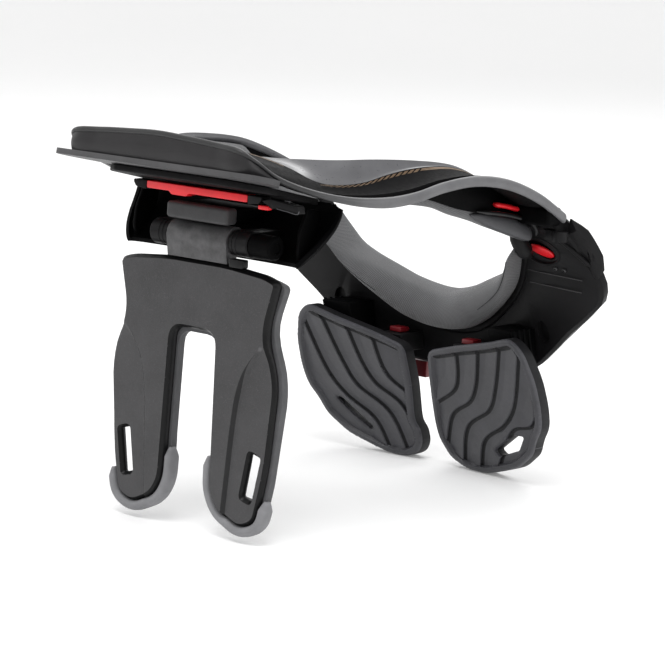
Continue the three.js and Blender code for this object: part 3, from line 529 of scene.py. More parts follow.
def inflated(pad, cap, pressure=3.0, frames=18):
    """Swells a neck pad by a cloth simulation: its outer side is held, and no point moves more than cap in mm."""
    start = [v.co.copy() for v in pad.data.vertices]
    group = pad.vertex_groups.new(name="held")
    held = [clamp(0.5 + 2.2 * (math.cos(a) - 0.05)) for a in turns(PAD_SIDES)]
    for k in range(len(start)):
        group.add([k], held[k % PAD_SIDES], "REPLACE")
    mod = pad.modifiers.new("cloth", "CLOTH")
    cloth = mod.settings
    cloth.quality, cloth.mass, cloth.air_damping = 4, 0.25, 4.0
    cloth.tension_stiffness = cloth.compression_stiffness = 12.0
    cloth.shear_stiffness, cloth.bending_stiffness = 6.0, 1.5
    cloth.use_pressure, cloth.uniform_pressure_force = True, pressure
    cloth.vertex_group_mass = "held"
    cloth.effector_weights.gravity = 0.0
    mod.point_cache.frame_start, mod.point_cache.frame_end = 1, frames
    for step in range(1, frames + 1):
        bpy.context.scene.frame_set(step)
    applied(pad)
    bpy.context.scene.frame_set(1)
    pad.vertex_groups.clear()
    for v, old in zip(pad.data.vertices, start):
        move = v.co - old
        if move.length > cap * MM:
            v.co = old + move.normalized() * cap * MM
    pad.data.shade_smooth()


# Materials

class Nodes:
    """A material's node tree with short calls for the nodes used here."""

    def __init__(self, name, colour, rough, **sockets):
        self.material = bpy.data.materials.new(name)
        self.material.use_nodes = True
        self.material.diffuse_color = (*colour, 1)
        self.tree = self.material.node_tree
        self.shader = self.tree.nodes["Principled BSDF"]
        self.shader.inputs["Base Color"].default_value = (*colour, 1)
        self.shader.inputs["Roughness"].default_value = rough
        for key, value in sockets.items():
            self.shader.inputs[key.replace("_", " ")].default_value = value

    def add(self, kind, **values):
        node = self.tree.nodes.new(kind)
        for key, value in values.items():
            setattr(node, key, value)
        return node

    def link(self, a, b):
        self.tree.links.new(a, b)

    def coordinates(self, kind="Object"):
        return self.add("ShaderNodeTexCoord").outputs[kind]

    def axes(self, kind="Object"):
        """Outputs X, Y and Z of the coordinates."""
        split = self.add("ShaderNodeSeparateXYZ")
        self.link(self.coordinates(kind), split.inputs["Vector"])
        return split.outputs

    def noise(self, where, scale, detail=3.0, rough=0.6):
        node = self.add("ShaderNodeTexNoise")
        node.inputs["Scale"].default_value = scale
        node.inputs["Detail"].default_value = detail
        node.inputs["Roughness"].default_value = rough
        self.link(where, node.inputs["Vector"])
        return node.outputs["Fac"]

    def ramp(self, value, low, high, a, b):
        node = self.add("ShaderNodeMapRange")
        for key, number in (("From Min", low), ("From Max", high), ("To Min", a), ("To Max", b)):
            node.inputs[key].default_value = number
        self.link(value, node.inputs["Value"])
        return node.outputs["Result"]

    def mix(self, value, a, b):
        node = self.add("ShaderNodeMix", data_type="RGBA")
        self.link(value, node.inputs["Factor"])
        for socket, colour in (("A", a), ("B", b)):
            target = [s for s in node.inputs if s.name == socket and s.type == "RGBA"][0]
            if isinstance(colour, tuple):
                target.default_value = (*colour, 1)
            else:
                self.link(colour, target)
        return [s for s in node.outputs if s.type == "RGBA"][0]

    def math(self, operation, a, b=None):
        node = self.add("ShaderNodeMath", operation=operation)
        for socket, value in zip(node.inputs, (a, b)):
            if value is None:
                continue
            if isinstance(value, (int, float)):
                socket.default_value = value
            else:
                self.link(value, socket)
        return node.outputs["Value"]

    def bump(self, height, strength, distance):
        node = self.add("ShaderNodeBump")
        node.inputs["Strength"].default_value = strength
        node.inputs["Distance"].default_value = distance
        self.link(height, node.inputs["Height"])
        self.link(node.outputs["Normal"], self.shader.inputs["Normal"])

    def roughness(self, value):
        self.link(value, self.shader.inputs["Roughness"])

    def base(self, value):
        self.link(value, self.shader.inputs["Base Color"])

    def cloudy(self, colour, scale, mottle):
        """Tone that drifts between a darker and a paler shade of a colour."""
        cloud = self.ramp(self.noise(self.coordinates(), scale, 4.0), 0.3, 0.7, 0.0, 1.0)
        return self.mix(cloud, shade(colour, 1 - mottle), shade(colour, 1 + mottle))


def shade(colour, factor):
    return tuple(c * factor for c in colour)


def moulded_nodes(name, colour, rough, grain=2600.0, relief=0.25, wear=0.35, mottle=0.18, sparkle=0.0,
                  specular=0.5, metallic=0.0):
    """Moulded plastic or rubber: fine grain, cloudy tone, scuffs in the gloss, paler edges (wear and painted
    highlight).
    """
    n = Nodes(name, colour, rough, Specular_IOR_Level=specular, Metallic=metallic)
    where = n.coordinates()
    tone = n.cloudy(colour, 45.0 if mottle < 0.3 else 130.0, mottle)
    if sparkle:
        flecks = n.ramp(n.noise(where, 1500.0, 1.0, 0.4), 0.58, 0.72, 0.0, sparkle)
        tone = n.mix(flecks, tone, shade(colour, 2.6))
    # Paler convex edges: partly wear, partly painted highlight where edges catch the light
    edge = n.ramp(n.add("ShaderNodeNewGeometry").outputs["Pointiness"], 0.53, 0.62, 0.0, wear)
    n.base(n.mix(edge, tone, shade(colour, 2.4)))
    scuff = n.noise(where, 420.0, 5.0, 0.7)
    n.roughness(n.ramp(scuff, 0.3, 0.75, rough * 0.86, min(1.0, rough * 1.22)))
    n.bump(n.noise(where, grain, 2.0, 0.5), relief, 0.0002)
    return n


def moulded(*kind, **looks):
    return moulded_nodes(*kind, **looks).material


BLACK = moulded("black_satin", (0.0075, 0.0073, 0.0078), 0.42, relief=0.14, wear=0.2, specular=0.13)
INSIDE = moulded("black_inside", (0.0015, 0.0015, 0.0017), 0.55, relief=0.1, wear=0.4, specular=0.04)
DECK = moulded("black_deck", (0.006, 0.0058, 0.0062), 0.62, relief=0.2, wear=0.1, specular=0.05)
WALL = moulded("black_wall", (0.0175, 0.0165, 0.0175), 0.36, grain=3200.0, relief=0.1, specular=0.3)
COLLAR = moulded("grey_collar", (0.075, 0.075, 0.081), 0.3, relief=0.05, wear=0.0, specular=0.85)
PLATE = moulded("grey_plate", (0.066, 0.065, 0.067), 0.5, relief=0.3, wear=0.0, specular=0.25)
HINGE_GREY = moulded("hinge_grey", (0.05, 0.049, 0.051), 0.5, grain=1300.0, relief=0.6, mottle=0.5)
SLIDER = moulded("dark_slider", (0.013, 0.0127, 0.0133), 0.6, relief=0.3, wear=0.0, specular=0.06)
FLAP = moulded("grey_flap", (0.044, 0.044, 0.048), 0.5, grain=1900.0, relief=0.35)
WEDGE = moulded("dark_wedge", (0.045, 0.0445, 0.046), 0.5, grain=900.0, relief=0.5, wear=0.3, specular=0.25)
PIPING = moulded("dark_piping", (0.006, 0.006, 0.0065), 0.35, relief=0.1, specular=0.3)
RED = moulded("red_plastic", (0.75, 0.012, 0.02), 0.32, grain=1800.0, relief=0.12, wear=0.1)
DARK_RED = moulded("dark_red_plastic", (0.14, 0.002, 0.006), 0.4, relief=0.15, wear=0.1)
# The strut's strong pale edges are painted highlight along its chamfer, where the edges catch the light
STRUT = moulded("charcoal_strut", (0.034, 0.0332, 0.035), 0.5, grain=2300.0, relief=0.7, wear=0.9, sparkle=0.35)
# Painted shade for the strut's creases, where the step falls in shadow
CREASE_SHADE = moulded("strut_crease", (0.011, 0.0107, 0.0115), 0.5, grain=2300.0, relief=0.5, specular=0.3)
BAND = moulded("black_band", (0.004, 0.004, 0.0043), 0.35, relief=0.15, wear=0.6, specular=0.2)
FOAM = moulded("grey_foam", (0.19, 0.19, 0.198), 0.6, grain=2100.0, relief=0.5, specular=0.3)
PAD_FOAM = moulded("dark_foam", (0.075, 0.075, 0.079), 0.6, grain=2100.0, relief=0.5, specular=0.3)
# The chest pads' strong pale edges are painted highlight along their rims and ridges, as well as wear
CHEST = moulded("chest_grey", (0.038, 0.038, 0.0435), 0.42, grain=2000.0, relief=0.3, wear=0.9, specular=0.45)
# Painted shade for the chest pads' grooves and under their top border, where shade falls
GROOVE_SHADE = moulded("chest_groove", (0.009, 0.009, 0.01), 0.5, relief=0.2, wear=0.3, specular=0.2)
BRONZE = moulded("bronze_paint", (0.2, 0.13, 0.075), 0.38, relief=0.1, wear=0.2, metallic=0.35)
STEEL = moulded("blackened_steel", (0.09, 0.09, 0.092), 0.34, wear=0.6, metallic=1.0)


def bead_material():
    """Rubber rim, black round the rear and grey along the arms."""
    grey, black = (0.115, 0.115, 0.12), (0.012, 0.012, 0.0125)
    n = moulded_nodes("rim_rubber", grey, 0.4, grain=3000.0, relief=0.2, wear=0.2)
    start, end = [(BRACE @ Vector(p)).y for p in ((0, 2, 218), (0, 48, 212))]
    n.base(n.mix(n.ramp(n.axes()["Y"], start, end, 0.0, 1.0), black, n.cloudy(grey, 60.0, 0.15)))
    return n.material


BEAD = bead_material()


def woven_material(name, colour, pitch=0.0013):
    """Spacer mesh: two crossing sets of fine ribs, a pitch in metres apart, with dark pores between them."""
    n = Nodes(name, colour, 0.78, Sheen_Weight=0.25, Sheen_Roughness=0.5)
    x, y = [n.axes("UV")[axis] for axis in "XY"]
    rate = 2 * math.pi / pitch
    first = n.math("SINE", n.math("MULTIPLY", n.math("ADD", x, n.math("MULTIPLY", y, 0.55)), rate))
    second = n.math("SINE", n.math("MULTIPLY", n.math("SUBTRACT", n.math("MULTIPLY", x, 0.35), y), rate * 1.35))
    height = n.math("ADD", n.math("MULTIPLY", first, 0.6), n.math("MULTIPLY", second, 0.4))
    n.base(n.mix(n.ramp(height, -0.8, 0.5, 1.0, 0.0), n.cloudy(colour, 38.0, 0.15), shade(colour, 0.38)))
    n.bump(height, 0.55, 0.0004)
    return n.material


MESH = woven_material("grey_mesh", (0.125, 0.126, 0.131))


def put(obj, body, slot, material, *nodes):
    """Gives obj its material and body, and hides the CAD nodes that it stands for."""
    obj.data.materials.append(material)
    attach(obj, body)
    if nodes:
        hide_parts(*nodes)
    return obj


def dress(node, body, slot, material, width):
    """Stands a rounded copy of a CAD node in its place."""
    return put(bevelled(cad_copy(node, node + "_dressed"), width), body, slot, material, node)


# Rear half

# Room for the bead along the deck's rim, hollow of the deck's top, and thickness of its paint
DECK_INSET, DECK_DIP, PAINT = RIM_R * 2 + 0.4, 2.2, 0.12


def deck_place(u, t):
    """Point of the deck's top at a share from the bead to the inner edge."""
    rim, edge = RIM.at(u), EDGE.at(u)
    rise = (edge.z - rim.z) * DECK_INSET / (edge - rim).length
    p = (rim - away(RIM, u) * DECK_INSET + UP * rise).lerp(edge, t)
    p.z -= DECK_DIP * math.sin(math.pi * t ** 0.9) ** 0.8
    return p


def deck_section(u):
    top = [deck_place(u, t) for t in shares(15)]
    return top + [p - UP * DECK_WALL for p in reversed(top)]


put(swept("deck_skin", deck_section, 241), REAR_BODY, "black_shell", DECK, "deck")


def deck_spot(u, off, lift=0.15):
    """Point above the deck's top, off millimetres outward from its inner edge."""
    return deck_place(u, 1 - off / (EDGE.at(u) - RIM.at(u)).length) + UP * lift


def stripe(bm, side, start, end, low, high, slant, steps):
    """Thin patch between two shares of the deck's inner edge and two distances from it."""
    place = lambda u: 0.5 + side * (u - 0.5)
    grid = [[bm.verts.new(deck_spot(place(lerp(start, end, i / steps) + slant * j / 4), lerp(low, high, j / 4)))
             for j in range(5)] for i in range(steps + 1)]
    for a, b in zip(grid, grid[1:]):
        for j in range(4):
            bm.faces.new((a[j], a[j + 1], b[j + 1], b[j]))


# Dashes on each arm: how many, and the shares of the inner edge where the first starts and between two starts
DASHES, DASH_START, DASH_STEP = 17, 0.686, 0.0092


def stripes():
    """Plain slanted dashes on the arms that close up into one band, and a short band at the rear."""
    bm = bmesh.new()
    for side in SIDES:
        for k in range(DASHES):
            start, t = DASH_START + DASH_STEP * k, k / (DASHES - 1)
            stripe(bm, side, start, start + lerp(0.0034, 0.0062, t), 0.8, lerp(4.6, 3.4, t), -0.006, 2)
        stripe(bm, side, 0.842, 0.93, 0.8, 3.0, -0.004, 40)
        stripe(bm, side, 0.548, 0.592, 0.9, 3.4, 0.004, 20)
    bmesh.ops.solidify(bm, geom=bm.faces[:], thickness=PAINT)
    return finish_mesh("bronze_stripes", bm, 40)


put(stripes(), REAR_BODY, "black_shell", BRONZE)


def bead_section(u):
    """The rim's bead is flatter round the rear than along the arms."""
    out, rim = away(RIM, u), RIM.at(u)
    tall = lerp(1.9, 3.5, smooth(0, 60, rim.y))
    return oval_ring(rim - out * RIM_R - UP * (tall - 0.3 * RIM_R), out * RIM_R, UP * tall, 20)


put(swept("rim_trim", bead_section, 281, 60), REAR_BODY, "grey_rubber", BEAD, "rim_bead")

# The rear wall starts below the rim and ends inside the flange, and round the corners where it gets too low
WALL_BELOW, WALL_SUNK, WALL_THICK, WALL_CROWN, WALL_LOWEST = 2.4, 0.6, 3.2, 0.9, 0.8


def flange_top(y):
    return FLANGE_TOP - (y + REAR) * SLOPE


def wall_span(u):
    """Heights of the rear wall's head and foot."""
    rim = RIM.at(u)
    return rim.z - WALL_BELOW, flange_top(rim.y) - WALL_SUNK


def wall_section(u):
    """Satin band from the rim down to the flange, a little crowned."""
    rim, out, (head, foot) = RIM.at(u), away(RIM, u), wall_span(u)
    face = [rim - out * (1.0 - WALL_CROWN * math.sin(math.pi * t)) + UP * (lerp(head, foot, t) - rim.z)
            for t in shares(9)]
    return face + [p - out * WALL_THICK for p in reversed(face)]


WALL_END = next(u for u in shares(201, 0.5, 1) if wall_span(u)[0] - wall_span(u)[1] < WALL_LOWEST)
rear_wall = swept("rear_wall_band", wall_section, 121, 50, 1 - WALL_END, WALL_END)
put(rear_wall, REAR_BODY, "black_shell", WALL, "rear_wall")

# Gap between the deck and the collar, hollow of the collar, and how far its lip turns down at the neck
COLLAR_GAP, COLLAR_DIP, COLLAR_LIP = 0.4, 1.4, 1.2


def collar_section(u):
    edge, crest = EDGE.at(u), CREST.at(u)
    inward = (crest - edge).normalized()
    start = edge + inward * COLLAR_GAP
    top = [start.lerp(crest, t) - UP * (COLLAR_DIP * math.sin(math.pi * t)) for t in shares(13)]
    lip = crest + inward * 0.5 - UP * COLLAR_LIP
    return top + [lip] + [p - UP * COLLAR_WALL for p in reversed(top)]


put(swept("collar_skin", collar_section, 241, 50), REAR_BODY, "grey_shell", COLLAR, "collar")

# The rear pad: share of an arm where its flap starts, its thickness, its gap under the collar, its head's lean
FLAP_START, PAD_THICK, PAD_UNDER, PAD_LEAN = 0.78, 8.0, 2.7, 0.192


def flap_share(u):
    """0 along the neck, rising to 1 at the end of an arm."""
    return max(0.0, abs(u - 0.5) * 2 - FLAP_START) / (1 - FLAP_START)


def pad_shift(u):
    """How far the rear pad's outer side lies outward of the collar's crest."""
    return PAD_THICK * lerp(0.25, 0.9, flap_share(u))


def rear_pad_section(u):
    crest, out = CREST.at(u), away(CREST, u)
    head = lerp(crest.z, HEAD.at(u).z, min(1, flap_share(u) * 4)) - COLLAR_WALL - PAD_UNDER
    foot = FOOT.at(u).z
    middle = crest + out * (pad_shift(u) - PAD_THICK / 2)
    middle.z = (head + foot) / 2
    ring = []
    for a in turns(PAD_SIDES):
        c, s = math.cos(a), math.sin(a)
        wide = boxy(c, 0.55) * PAD_THICK / 2 + (PAD_LEAN * PAD_THICK * max(0.0, s) if c < 0 else 0.0)
        ring.append(middle + out * wide + UP * (boxy(s, 0.75) * (head - foot) / 2))
    return ring


rear_pad = swept("rear_pad_cover", rear_pad_section, 161, 70)
inflated(rear_pad, 2.5)
put(rear_pad, REAR_BODY, "mesh_fabric", MESH, "rear_pad")

# Arm ends: the outer skirt of each arm, the smooth end flap with its piping, and the red tab.
# Foot of the skirt: distance forward and height
SKIRT_FEET = [(80, 211), (88, 209.4), (97, 208.2), (112, 205.8), (126, 202.5), (141, 198.8), (157, 195.8),
              (170, 193.6), (186, 190.8), (196, 187.6), (206, 185.8), (214.8, 185.4)]
# Lines of the piping and the tab, and the flap's rows: place in plan, heights of top and foot, half width
PIPING_LINE = [(96.0, 160, 196.0), (97.4, 172, 194.7), (99.2, 184, 193.4), (101.2, 195, 191.6), (103.2, 204.5, 189.2),
               (105, 211.5, 185.8), (105.6, 215, 181.6), (104.8, 215.8, 178.2)]
FLAP_ROWS = [
    ((92.4, 158), 195.4, 191.5, 2.4), ((93, 168), 194.4, 187.6, 4.0), ((94, 180), 193.2, 183.0, 5.4),
    ((95.4, 192), 191.4, 179.4, 6.2), ((97, 202), 189.0, 176.4, 6.4), ((98.4, 210), 185.8, 174.4, 6.0),
    ((99, 215.4), 181.6, 174.8, 4.4),
]
TAB_LINE = [(95.6, 179.5, 199.6), (96.6, 188, 198.4), (97.6, 197, 196.6), (98.2, 206, 194.8)]


def edge_share(y):
    """Share along the right half of the deck's inner edge at a distance forward."""
    low, high = 0.1, 0.5
    for _ in range(24):
        middle = (low + high) / 2
        low, high = (middle, high) if EDGE.at(0.5 + middle).y < y else (low, middle)
    return low


SKIRT_FOOT = Curve([(y, z, 0) for y, z in SKIRT_FEET])
SKIRT_OUT, SKIRT_THICK, SKIRT_CROWN = 1.6, 2.0, 1.6


def skirt_section(side, t):
    """Black wall from the deck's inner edge down over the outer side of the pad."""
    y, z, _ = SKIRT_FOOT.at(t)
    u = 0.5 + edge_share(y)
    low = Vector((CREST.at(u).x + pad_shift(u) + SKIRT_OUT, y, z))
    high = EDGE.at(u) + Vector((1.0, 0, -2.4))
    face = [low.lerp(high, k) + Vector((SKIRT_CROWN * math.sin(math.pi * k), 0, 0)) for k in shares(11)]
    return mirrored(face + [p - Vector((SKIRT_THICK, 0, 0)) for p in reversed(face)], side)


FLAP_PLACE = Curve([(x, y, 0) for (x, y), *_ in FLAP_ROWS])
FLAP_SIZE = Curve([row[1:] for row in FLAP_ROWS])


def flap_section(side, t):
    """The smooth flap at an arm's end closes at both ends."""
    (x, y, _), (top, foot, half) = FLAP_PLACE.at(t), FLAP_SIZE.at(t)
    close = math.sqrt(clamp((1 - t) * 9)) * math.sqrt(clamp(t * 7 + 0.1))
    ring = []
    for a in turns(24):
        c, s = math.cos(a), math.sin(a)
        wide = boxy(c, 0.8) * half * close + 0.12 * (foot - top) * s
        tall = boxy(s, 0.75) * (top - foot) / 2 * max(0.3, close)
        ring.append(Vector((side * (x + wide), y, (top + foot) / 2 + tall)))
    return ring


for side, word in SIDES.items():
    put(swept("arm_skirt_" + word, partial(skirt_section, side), 71, 50), REAR_BODY, "black_shell", INSIDE)
    flap = swept("arm_flap_" + word, partial(flap_section, side), 49, 60)
    put(flap, REAR_BODY, "mesh_fabric", FLAP)
    piping = tube("arm_piping_" + word, mirrored(PIPING_LINE, side), tapering(1.5, 0.3, 6))
    put(piping, REAR_BODY, "grey_rubber", PIPING)
    tab = tube("arm_tab_cover_" + word, mirrored(TAB_LINE, side), tapering(3.0, 0.25, 11, 0.5), flat_share=0.62)
    put(tab, REAR_BODY, "red_plastic", RED, "arm_tab_" + word)

for node, slot, material, width in (
    ("rear_flange", "grey_shell", PLATE, 1.1), ("slider_plate", "grey_shell", SLIDER, 0.9),
    ("lock_bar", "red_plastic", RED, 1.3), ("lock_end_right", "black_shell", BLACK, 0.8),
    ("lock_end_left", "grey_shell", SLIDER, 0.8), ("hinge_lug_right", "black_shell", BLACK, 1.2),
    ("hinge_lug_left", "black_shell", BLACK, 1.2), ("hinge_pin", "steel", STEEL, 0.5),
    ("closure_pin", "steel", INSIDE, 0.3),
):
    dress(node, REAR_BODY, slot, material, width)


# Opposite corners of the rounded blocks: the wedge and its root, the right arm block, the lock's tip, the
# strut's stop
WEDGE_BOX, ROOT_BOX = [(-25.6, -3.2, 187.6), (25.6, 7.5, 198.2)], [(-23, 6.5, 188.6), (23, 34.4, 197.6)]
ARM_BLOCK_BOX, TIP_BOX = [(98.5, 200.5, 186.6), (124.5, 216.2, 199)], [(51.5, -4.6, 201.3), (59.5, 0, 203.9)]
STOP_BOX = [(27.5, -1.6, 162.4), (39, 4.2, 167.8)]


def block(name, look, box, width, *nodes, segments=3):
    """Rounded block between two corners in the brace's frame; look is its body, slot and material."""
    low, high = box
    outline = [Vector(p) for p in ((low[0], low[2]), (high[0], low[2]), (high[0], high[2]), (low[0], high[2]))]
    put(bevelled(prism(name, outline, low[1], high[1]), width, segments), *look, *nodes)


block("wedge_cover", (REAR_BODY, "grey_shell", WEDGE), WEDGE_BOX, 2.4, "angle_wedge", segments=5)
block("wedge_root", (REAR_BODY, "grey_shell", INSIDE), ROOT_BOX, 1.5)
for side, word in SIDES.items():
    block("arm_block_cover_" + word, (REAR_BODY, "black_shell", INSIDE), mirrored(ARM_BLOCK_BOX, side), 2.6,
          "arm_block_" + word, segments=5)

# Lock details: a second red end, and a dark slide beyond it with a fine pale edge
block("lock_tip", (REAR_BODY, "red_plastic", RED), TIP_BOX, 0.7)
SLIDE = [Vector(p) for p in ((53, 206.6), (60, 208.6), (82, 206.4), (83.5, 201.6), (64, 203.2), (61.5, 202.2))]
SLIDE_EDGE = [(66, -3.7, 203.2), (74, -3.7, 202.4), (82.8, -3.6, 201.8), (83.3, -3.2, 203.4)]
put(bevelled(prism("lock_slide", SLIDE, -3.4, 3), 0.6), REAR_BODY, "black_shell", BLACK)
put(tube("lock_slide_edge", SLIDE_EDGE, 0.32), REAR_BODY, "grey_shell", FLAP)


# Open shell behind the hinge: height, front and rear of its ends, half width
BOWL_ROWS = [
    (203.4, 42, 35, 85.5), (198, 42, 33.5, 85.5), (191, 41, 29.5, 84.5), (184, 38, 24, 82.5), (177, 33, 18.6, 79.5),
    (171, 28, 14.2, 75.5), (167, 22, 12.3, 72.5), (165.7, 18.5, 12.0, 71),
]
BOWL = Curve([(z, front, rear) for z, front, rear, _ in BOWL_ROWS])
BOWL_HALF = Curve([(half, 0, 0) for *_, half in BOWL_ROWS])


def bowl_top(y):
    """Height of the bowl's top edge, just under the slider plate."""
    return flange_top(y) - SLIDER_FOOT_GAP - 0.4


def bowl_section(t, power=0.62):
    (z, front, rear), half = BOWL.at(t), BOWL_HALF.at(t).x
    ring = []
    for a in shares(81, -math.pi / 2, math.pi / 2):
        x, y = boxy(math.sin(a), power) * half, rear + (front - rear) * boxy(math.cos(a), power)
        ring.append(Vector((x, y, min(z, bowl_top(y)) if t else bowl_top(y))))
    return ring


def bowl(wall=3.0):
    shell = swept("shell_bowl", bowl_section, 27, closed=False)
    inward = shell.data.polygons[len(shell.data.polygons) // 3].normal.y < 0
    mod = shell.modifiers.new("wall", "SOLIDIFY")
    mod.thickness, mod.offset, mod.use_even_offset = wall * MM, (1.0 if inward else -1.0), True
    return bevelled(applied(shell), 1.1, 3, 50)


put(bowl(), REAR_BODY, "black_shell", INSIDE, "shell")
# Webs at the bowl's ends: outline by distance forward and height, and the distances of their sides from the middle
WEB = [(21.5, 202.6), (19.4, 197), (15.6, 189), (14.4, 181), (14.2, 175), (17, 170.5), (22, 174), (29.5, 180),
       (33.5, 188), (35.5, 196), (35.5, 200)]
WEB_SIDES = (67.4, 69.8)
# The hinge's barrels start beside the wedge. Their profile, with two grooves, and the nut's: distance along the
# pin and radius
BARREL_START, BARREL_SIDES = 25.8, 48
BARREL_GROOVE = [(0, 8.25), (0.4, 7.6), (1.1, 7.6), (1.5, 8.25)]
KNUCKLE = [(0, 7.2), (0.6, 8.25), *[(start + along, radius) for start in (2.6, 5.6) for along, radius in BARREL_GROOVE],
           (14.2, 8.25), (15.0, 7.5)]
NUT = [(15.1, 5.2), (15.2, 6.9), (16.2, 7.9), (31.5, 7.7), (32.9, 6.4), (33.0, 3.4), (32.2, 3.2), (32.1, 0.4)]


def on_pin(name, profile, side, material):
    """Turned piece on the strut's hinge pin, outside the wedge."""
    centre = Vector((side * BARREL_START, HINGE.y, HINGE.z))
    put(spun(name, profile, centre, Vector((side, 0, 0)), BARREL_SIDES), REAR_BODY, "black_shell", material)


for side, word in SIDES.items():
    web = prism("shell_web_" + word, smooth_line(WEB, 50), *WEB_SIDES, lambda p, d: Vector((side * d, p.x, p.y)), 30)
    put(bevelled(web, 0.8, 3, 40), REAR_BODY, "black_shell", INSIDE)
for side, word in SIDES.items():
    on_pin("knuckle_" + word, KNUCKLE, side, BLACK)
on_pin("hinge_nut_right", NUT, 1, INSIDE)

# Strut

STRUT_AT = BRACE @ Matrix.Translation(HINGE) @ Matrix.Rotation(-STRUT_LEAN, 4, "X")
# Half of the plate's outline: shares of its half width and of its length down from the top, corner radius
STRUT_ROWS = [
    (0.36, -0.035, 8), (0.84, -0.016, 5), (0.985, 0.006, 4), (0.862, 0.215, 12), (1.03, 0.4, 12),
    (0.972, 0.76, 20), (0.87, 0.965, 6), (0.68, 1, 10), (0.40, 0.945, 9), (0.30, 0.87, 12), (0.262, 0.243, 9),
]
# Corners of a strap slot, as the same shares
STRUT_SLOT = [(0.875, 0.705), (0.77, 0.692), (0.7, 0.87), (0.8, 0.882)]
# Crease on each leg, from its waist to its tip: distance from the middle, distance down from the top
CREASE = smooth_line([(59, 40), (49.5, 50), (43, 60.5), (39, 73), (36.5, 91), (34.3, 122), (32, 158)])
CREASE_STEP, CREASE_WIDE = 2.1, 2.4
# Distances down from the top between which the crease's step rises and its painted shade line widens
CREASE_RISE, CREASE_TAPER = (38, 52), (42, 76)
CHAMFER_WIDE, CHAMFER_DEEP = 2.2, 2.8


def strut_point(across, down, side=1):
    """Point of the plate from shares of its half width and of its length."""
    return Vector((side * across * STRUT_HALF, STRUT_TOP - down * STRUT_LENGTH))


def strut_outline():
    half = [strut_point(across, down) for across, down, _ in STRUT_ROWS]
    radii = [radius for *_, radius in STRUT_ROWS]
    left = [Vector((-p.x, p.y)) for p in reversed(half)]
    return rounded_outline(half + left, radii + radii[::-1])


def slot_outline(side, grow=0.0):
    """Outline of a strap slot; grow widens it, most of all sideways."""
    points = [strut_point(across, down, side) for across, down in STRUT_SLOT]
    middle = sum(points, Vector((0, 0))) / 4
    spread = [p + Vector((math.copysign(grow, p.x - middle.x), math.copysign(grow * 0.3, p.y - middle.y)))
              for p in points]
    return rounded_outline(spread, 1.4, 4)


def crease_place(x, y):
    """Signed distance of plate points to the crease of their leg, negative towards the outer edge."""
    return signed_gap(np.abs(x), STRUT_TOP - y, CREASE)


def strut_height(x, y, gap):
    down = STRUT_TOP - y
    outer = ease(0.2, CREASE_WIDE, -crease_place(x, y)) * ease(*CREASE_RISE, down)
    return STRUT_BACK + CREASE_STEP * outer + CHAMFER_DEEP * np.clip(1 - gap / CHAMFER_WIDE, 0, 1)


def strut_tones(points):
    """Second material on the chamfer, third on the creases as painted shade; the creases taper off towards the waist.
    """
    x, y = xy(points)
    place, down = -crease_place(x, y), STRUT_TOP - y
    tones = np.where((place > 0) & (place < CREASE_WIDE * ease(*CREASE_TAPER, down)), 2, 0)
    return np.where(gaps(points, STRUT_TREE) < CHAMFER_WIDE, 1, tones)


def inset(loop, by):
    """Closed line inside a loop that runs either way round."""
    area = sum(a.x * b.y - b.x * a.y for a, b in zip(loop, loop[1:] + loop[:1]))
    by = by if area > 0 else -by
    line = [loop[-1]] + list(loop) + [loop[0], loop[1]]
    return offset_line(line, by)[1:-1]


def strut_lines(loops):
    """Feature lines for the plate's mesh: both sides of each crease, and the chamfer's inner edge."""
    tapered = [q + (r - q) * smooth(*CREASE_TAPER, q.y) for q, r in zip(CREASE, offset_line(CREASE, -CREASE_WIDE))]
    lines = [inset(loop, CHAMFER_WIDE if k == 0 else -CHAMFER_WIDE) for k, loop in enumerate(loops)]
    for line in (CREASE, tapered):
        right = [Vector((q.x, STRUT_TOP - q.y)) for q in line]
        lines += [right, [Vector((-q.x, q.y)) for q in right]]
    return lines


STRUT_LOOPS = [strut_outline(), slot_outline(1), slot_outline(-1)]
STRUT_TREE = tree_of([q for loop in STRUT_LOOPS for q in resampled(loop, 0.7)])


def strut_plate():
    """Charcoal face plate: its legs' outer parts lie lower behind a curved crease, with painted shade along the crease.
    """
    plate = field_plate("strut_face", STRUT_LOOPS[0], STRUT_LOOPS[1:], 1.0, strut_height, STRUT_BACK + STRUT_THICK,
                        upright, strut_lines(STRUT_LOOPS), strut_tones, place=STRUT_AT)
    put(plate, STRUT_BODY, "strut_black", STRUT, "strut_plate")
    plate.data.materials.append(BAND)
    # The third material paints shade into the creases
    plate.data.materials.append(CREASE_SHADE)


strut_plate()

# Foam under the plate: how far it may stand out at the tips, how much wider it is at the legs' outer sides
TIP_FOAM, FOAM_WIDER, FOAM_FROM = 2.4, 3.6, 48.0
# Foam edges round the tips: how far down they start on a leg's inner and outer side, the line between the
# two, and their place outside the plate and half sizes
TIP_FROM, TIP_OUTER, LEG_MIDDLE = 115.0, 136.0, 42.0
TIP_OUT, TIP_WIDE, TIP_DEEP, TIP_BACK = 3.3, 3.4, 5.4, 0.2


def tip_bumper(side):
    """Thick rounded foam edge round the tip of a leg, flush with the plate."""
    loop = inset(resampled(STRUT_LOOPS[0], 2.0), -TIP_OUT)
    start = min(range(len(loop)), key=lambda k: (loop[k] - Vector((0, 400))).length)
    path = [q for q in loop[start:] + loop[:start]
            if q.x * side > 0 and STRUT_TOP - q.y > (TIP_FROM if abs(q.x) < LEG_MIDDLE else TIP_OUTER)]
    size = tapering(1.0, 0.35, 9, 0.7)
    rings = []
    for k, q in enumerate(path):
        step, share = step_at(path, k).normalized(), size(k / (len(path) - 1))
        across = Vector((-step.y, 0, step.x)) * (TIP_WIDE * share)
        rings.append(oval_ring(Vector((q.x, -TIP_BACK, q.y)), across, Vector((0, TIP_DEEP * share, 0)), 16, 0.8))
    bumper = loft("tip_bumper_" + SIDES[side], rings, sharp=60, place=STRUT_AT)
    put(bumper, STRUT_BODY, "grey_foam", FOAM)


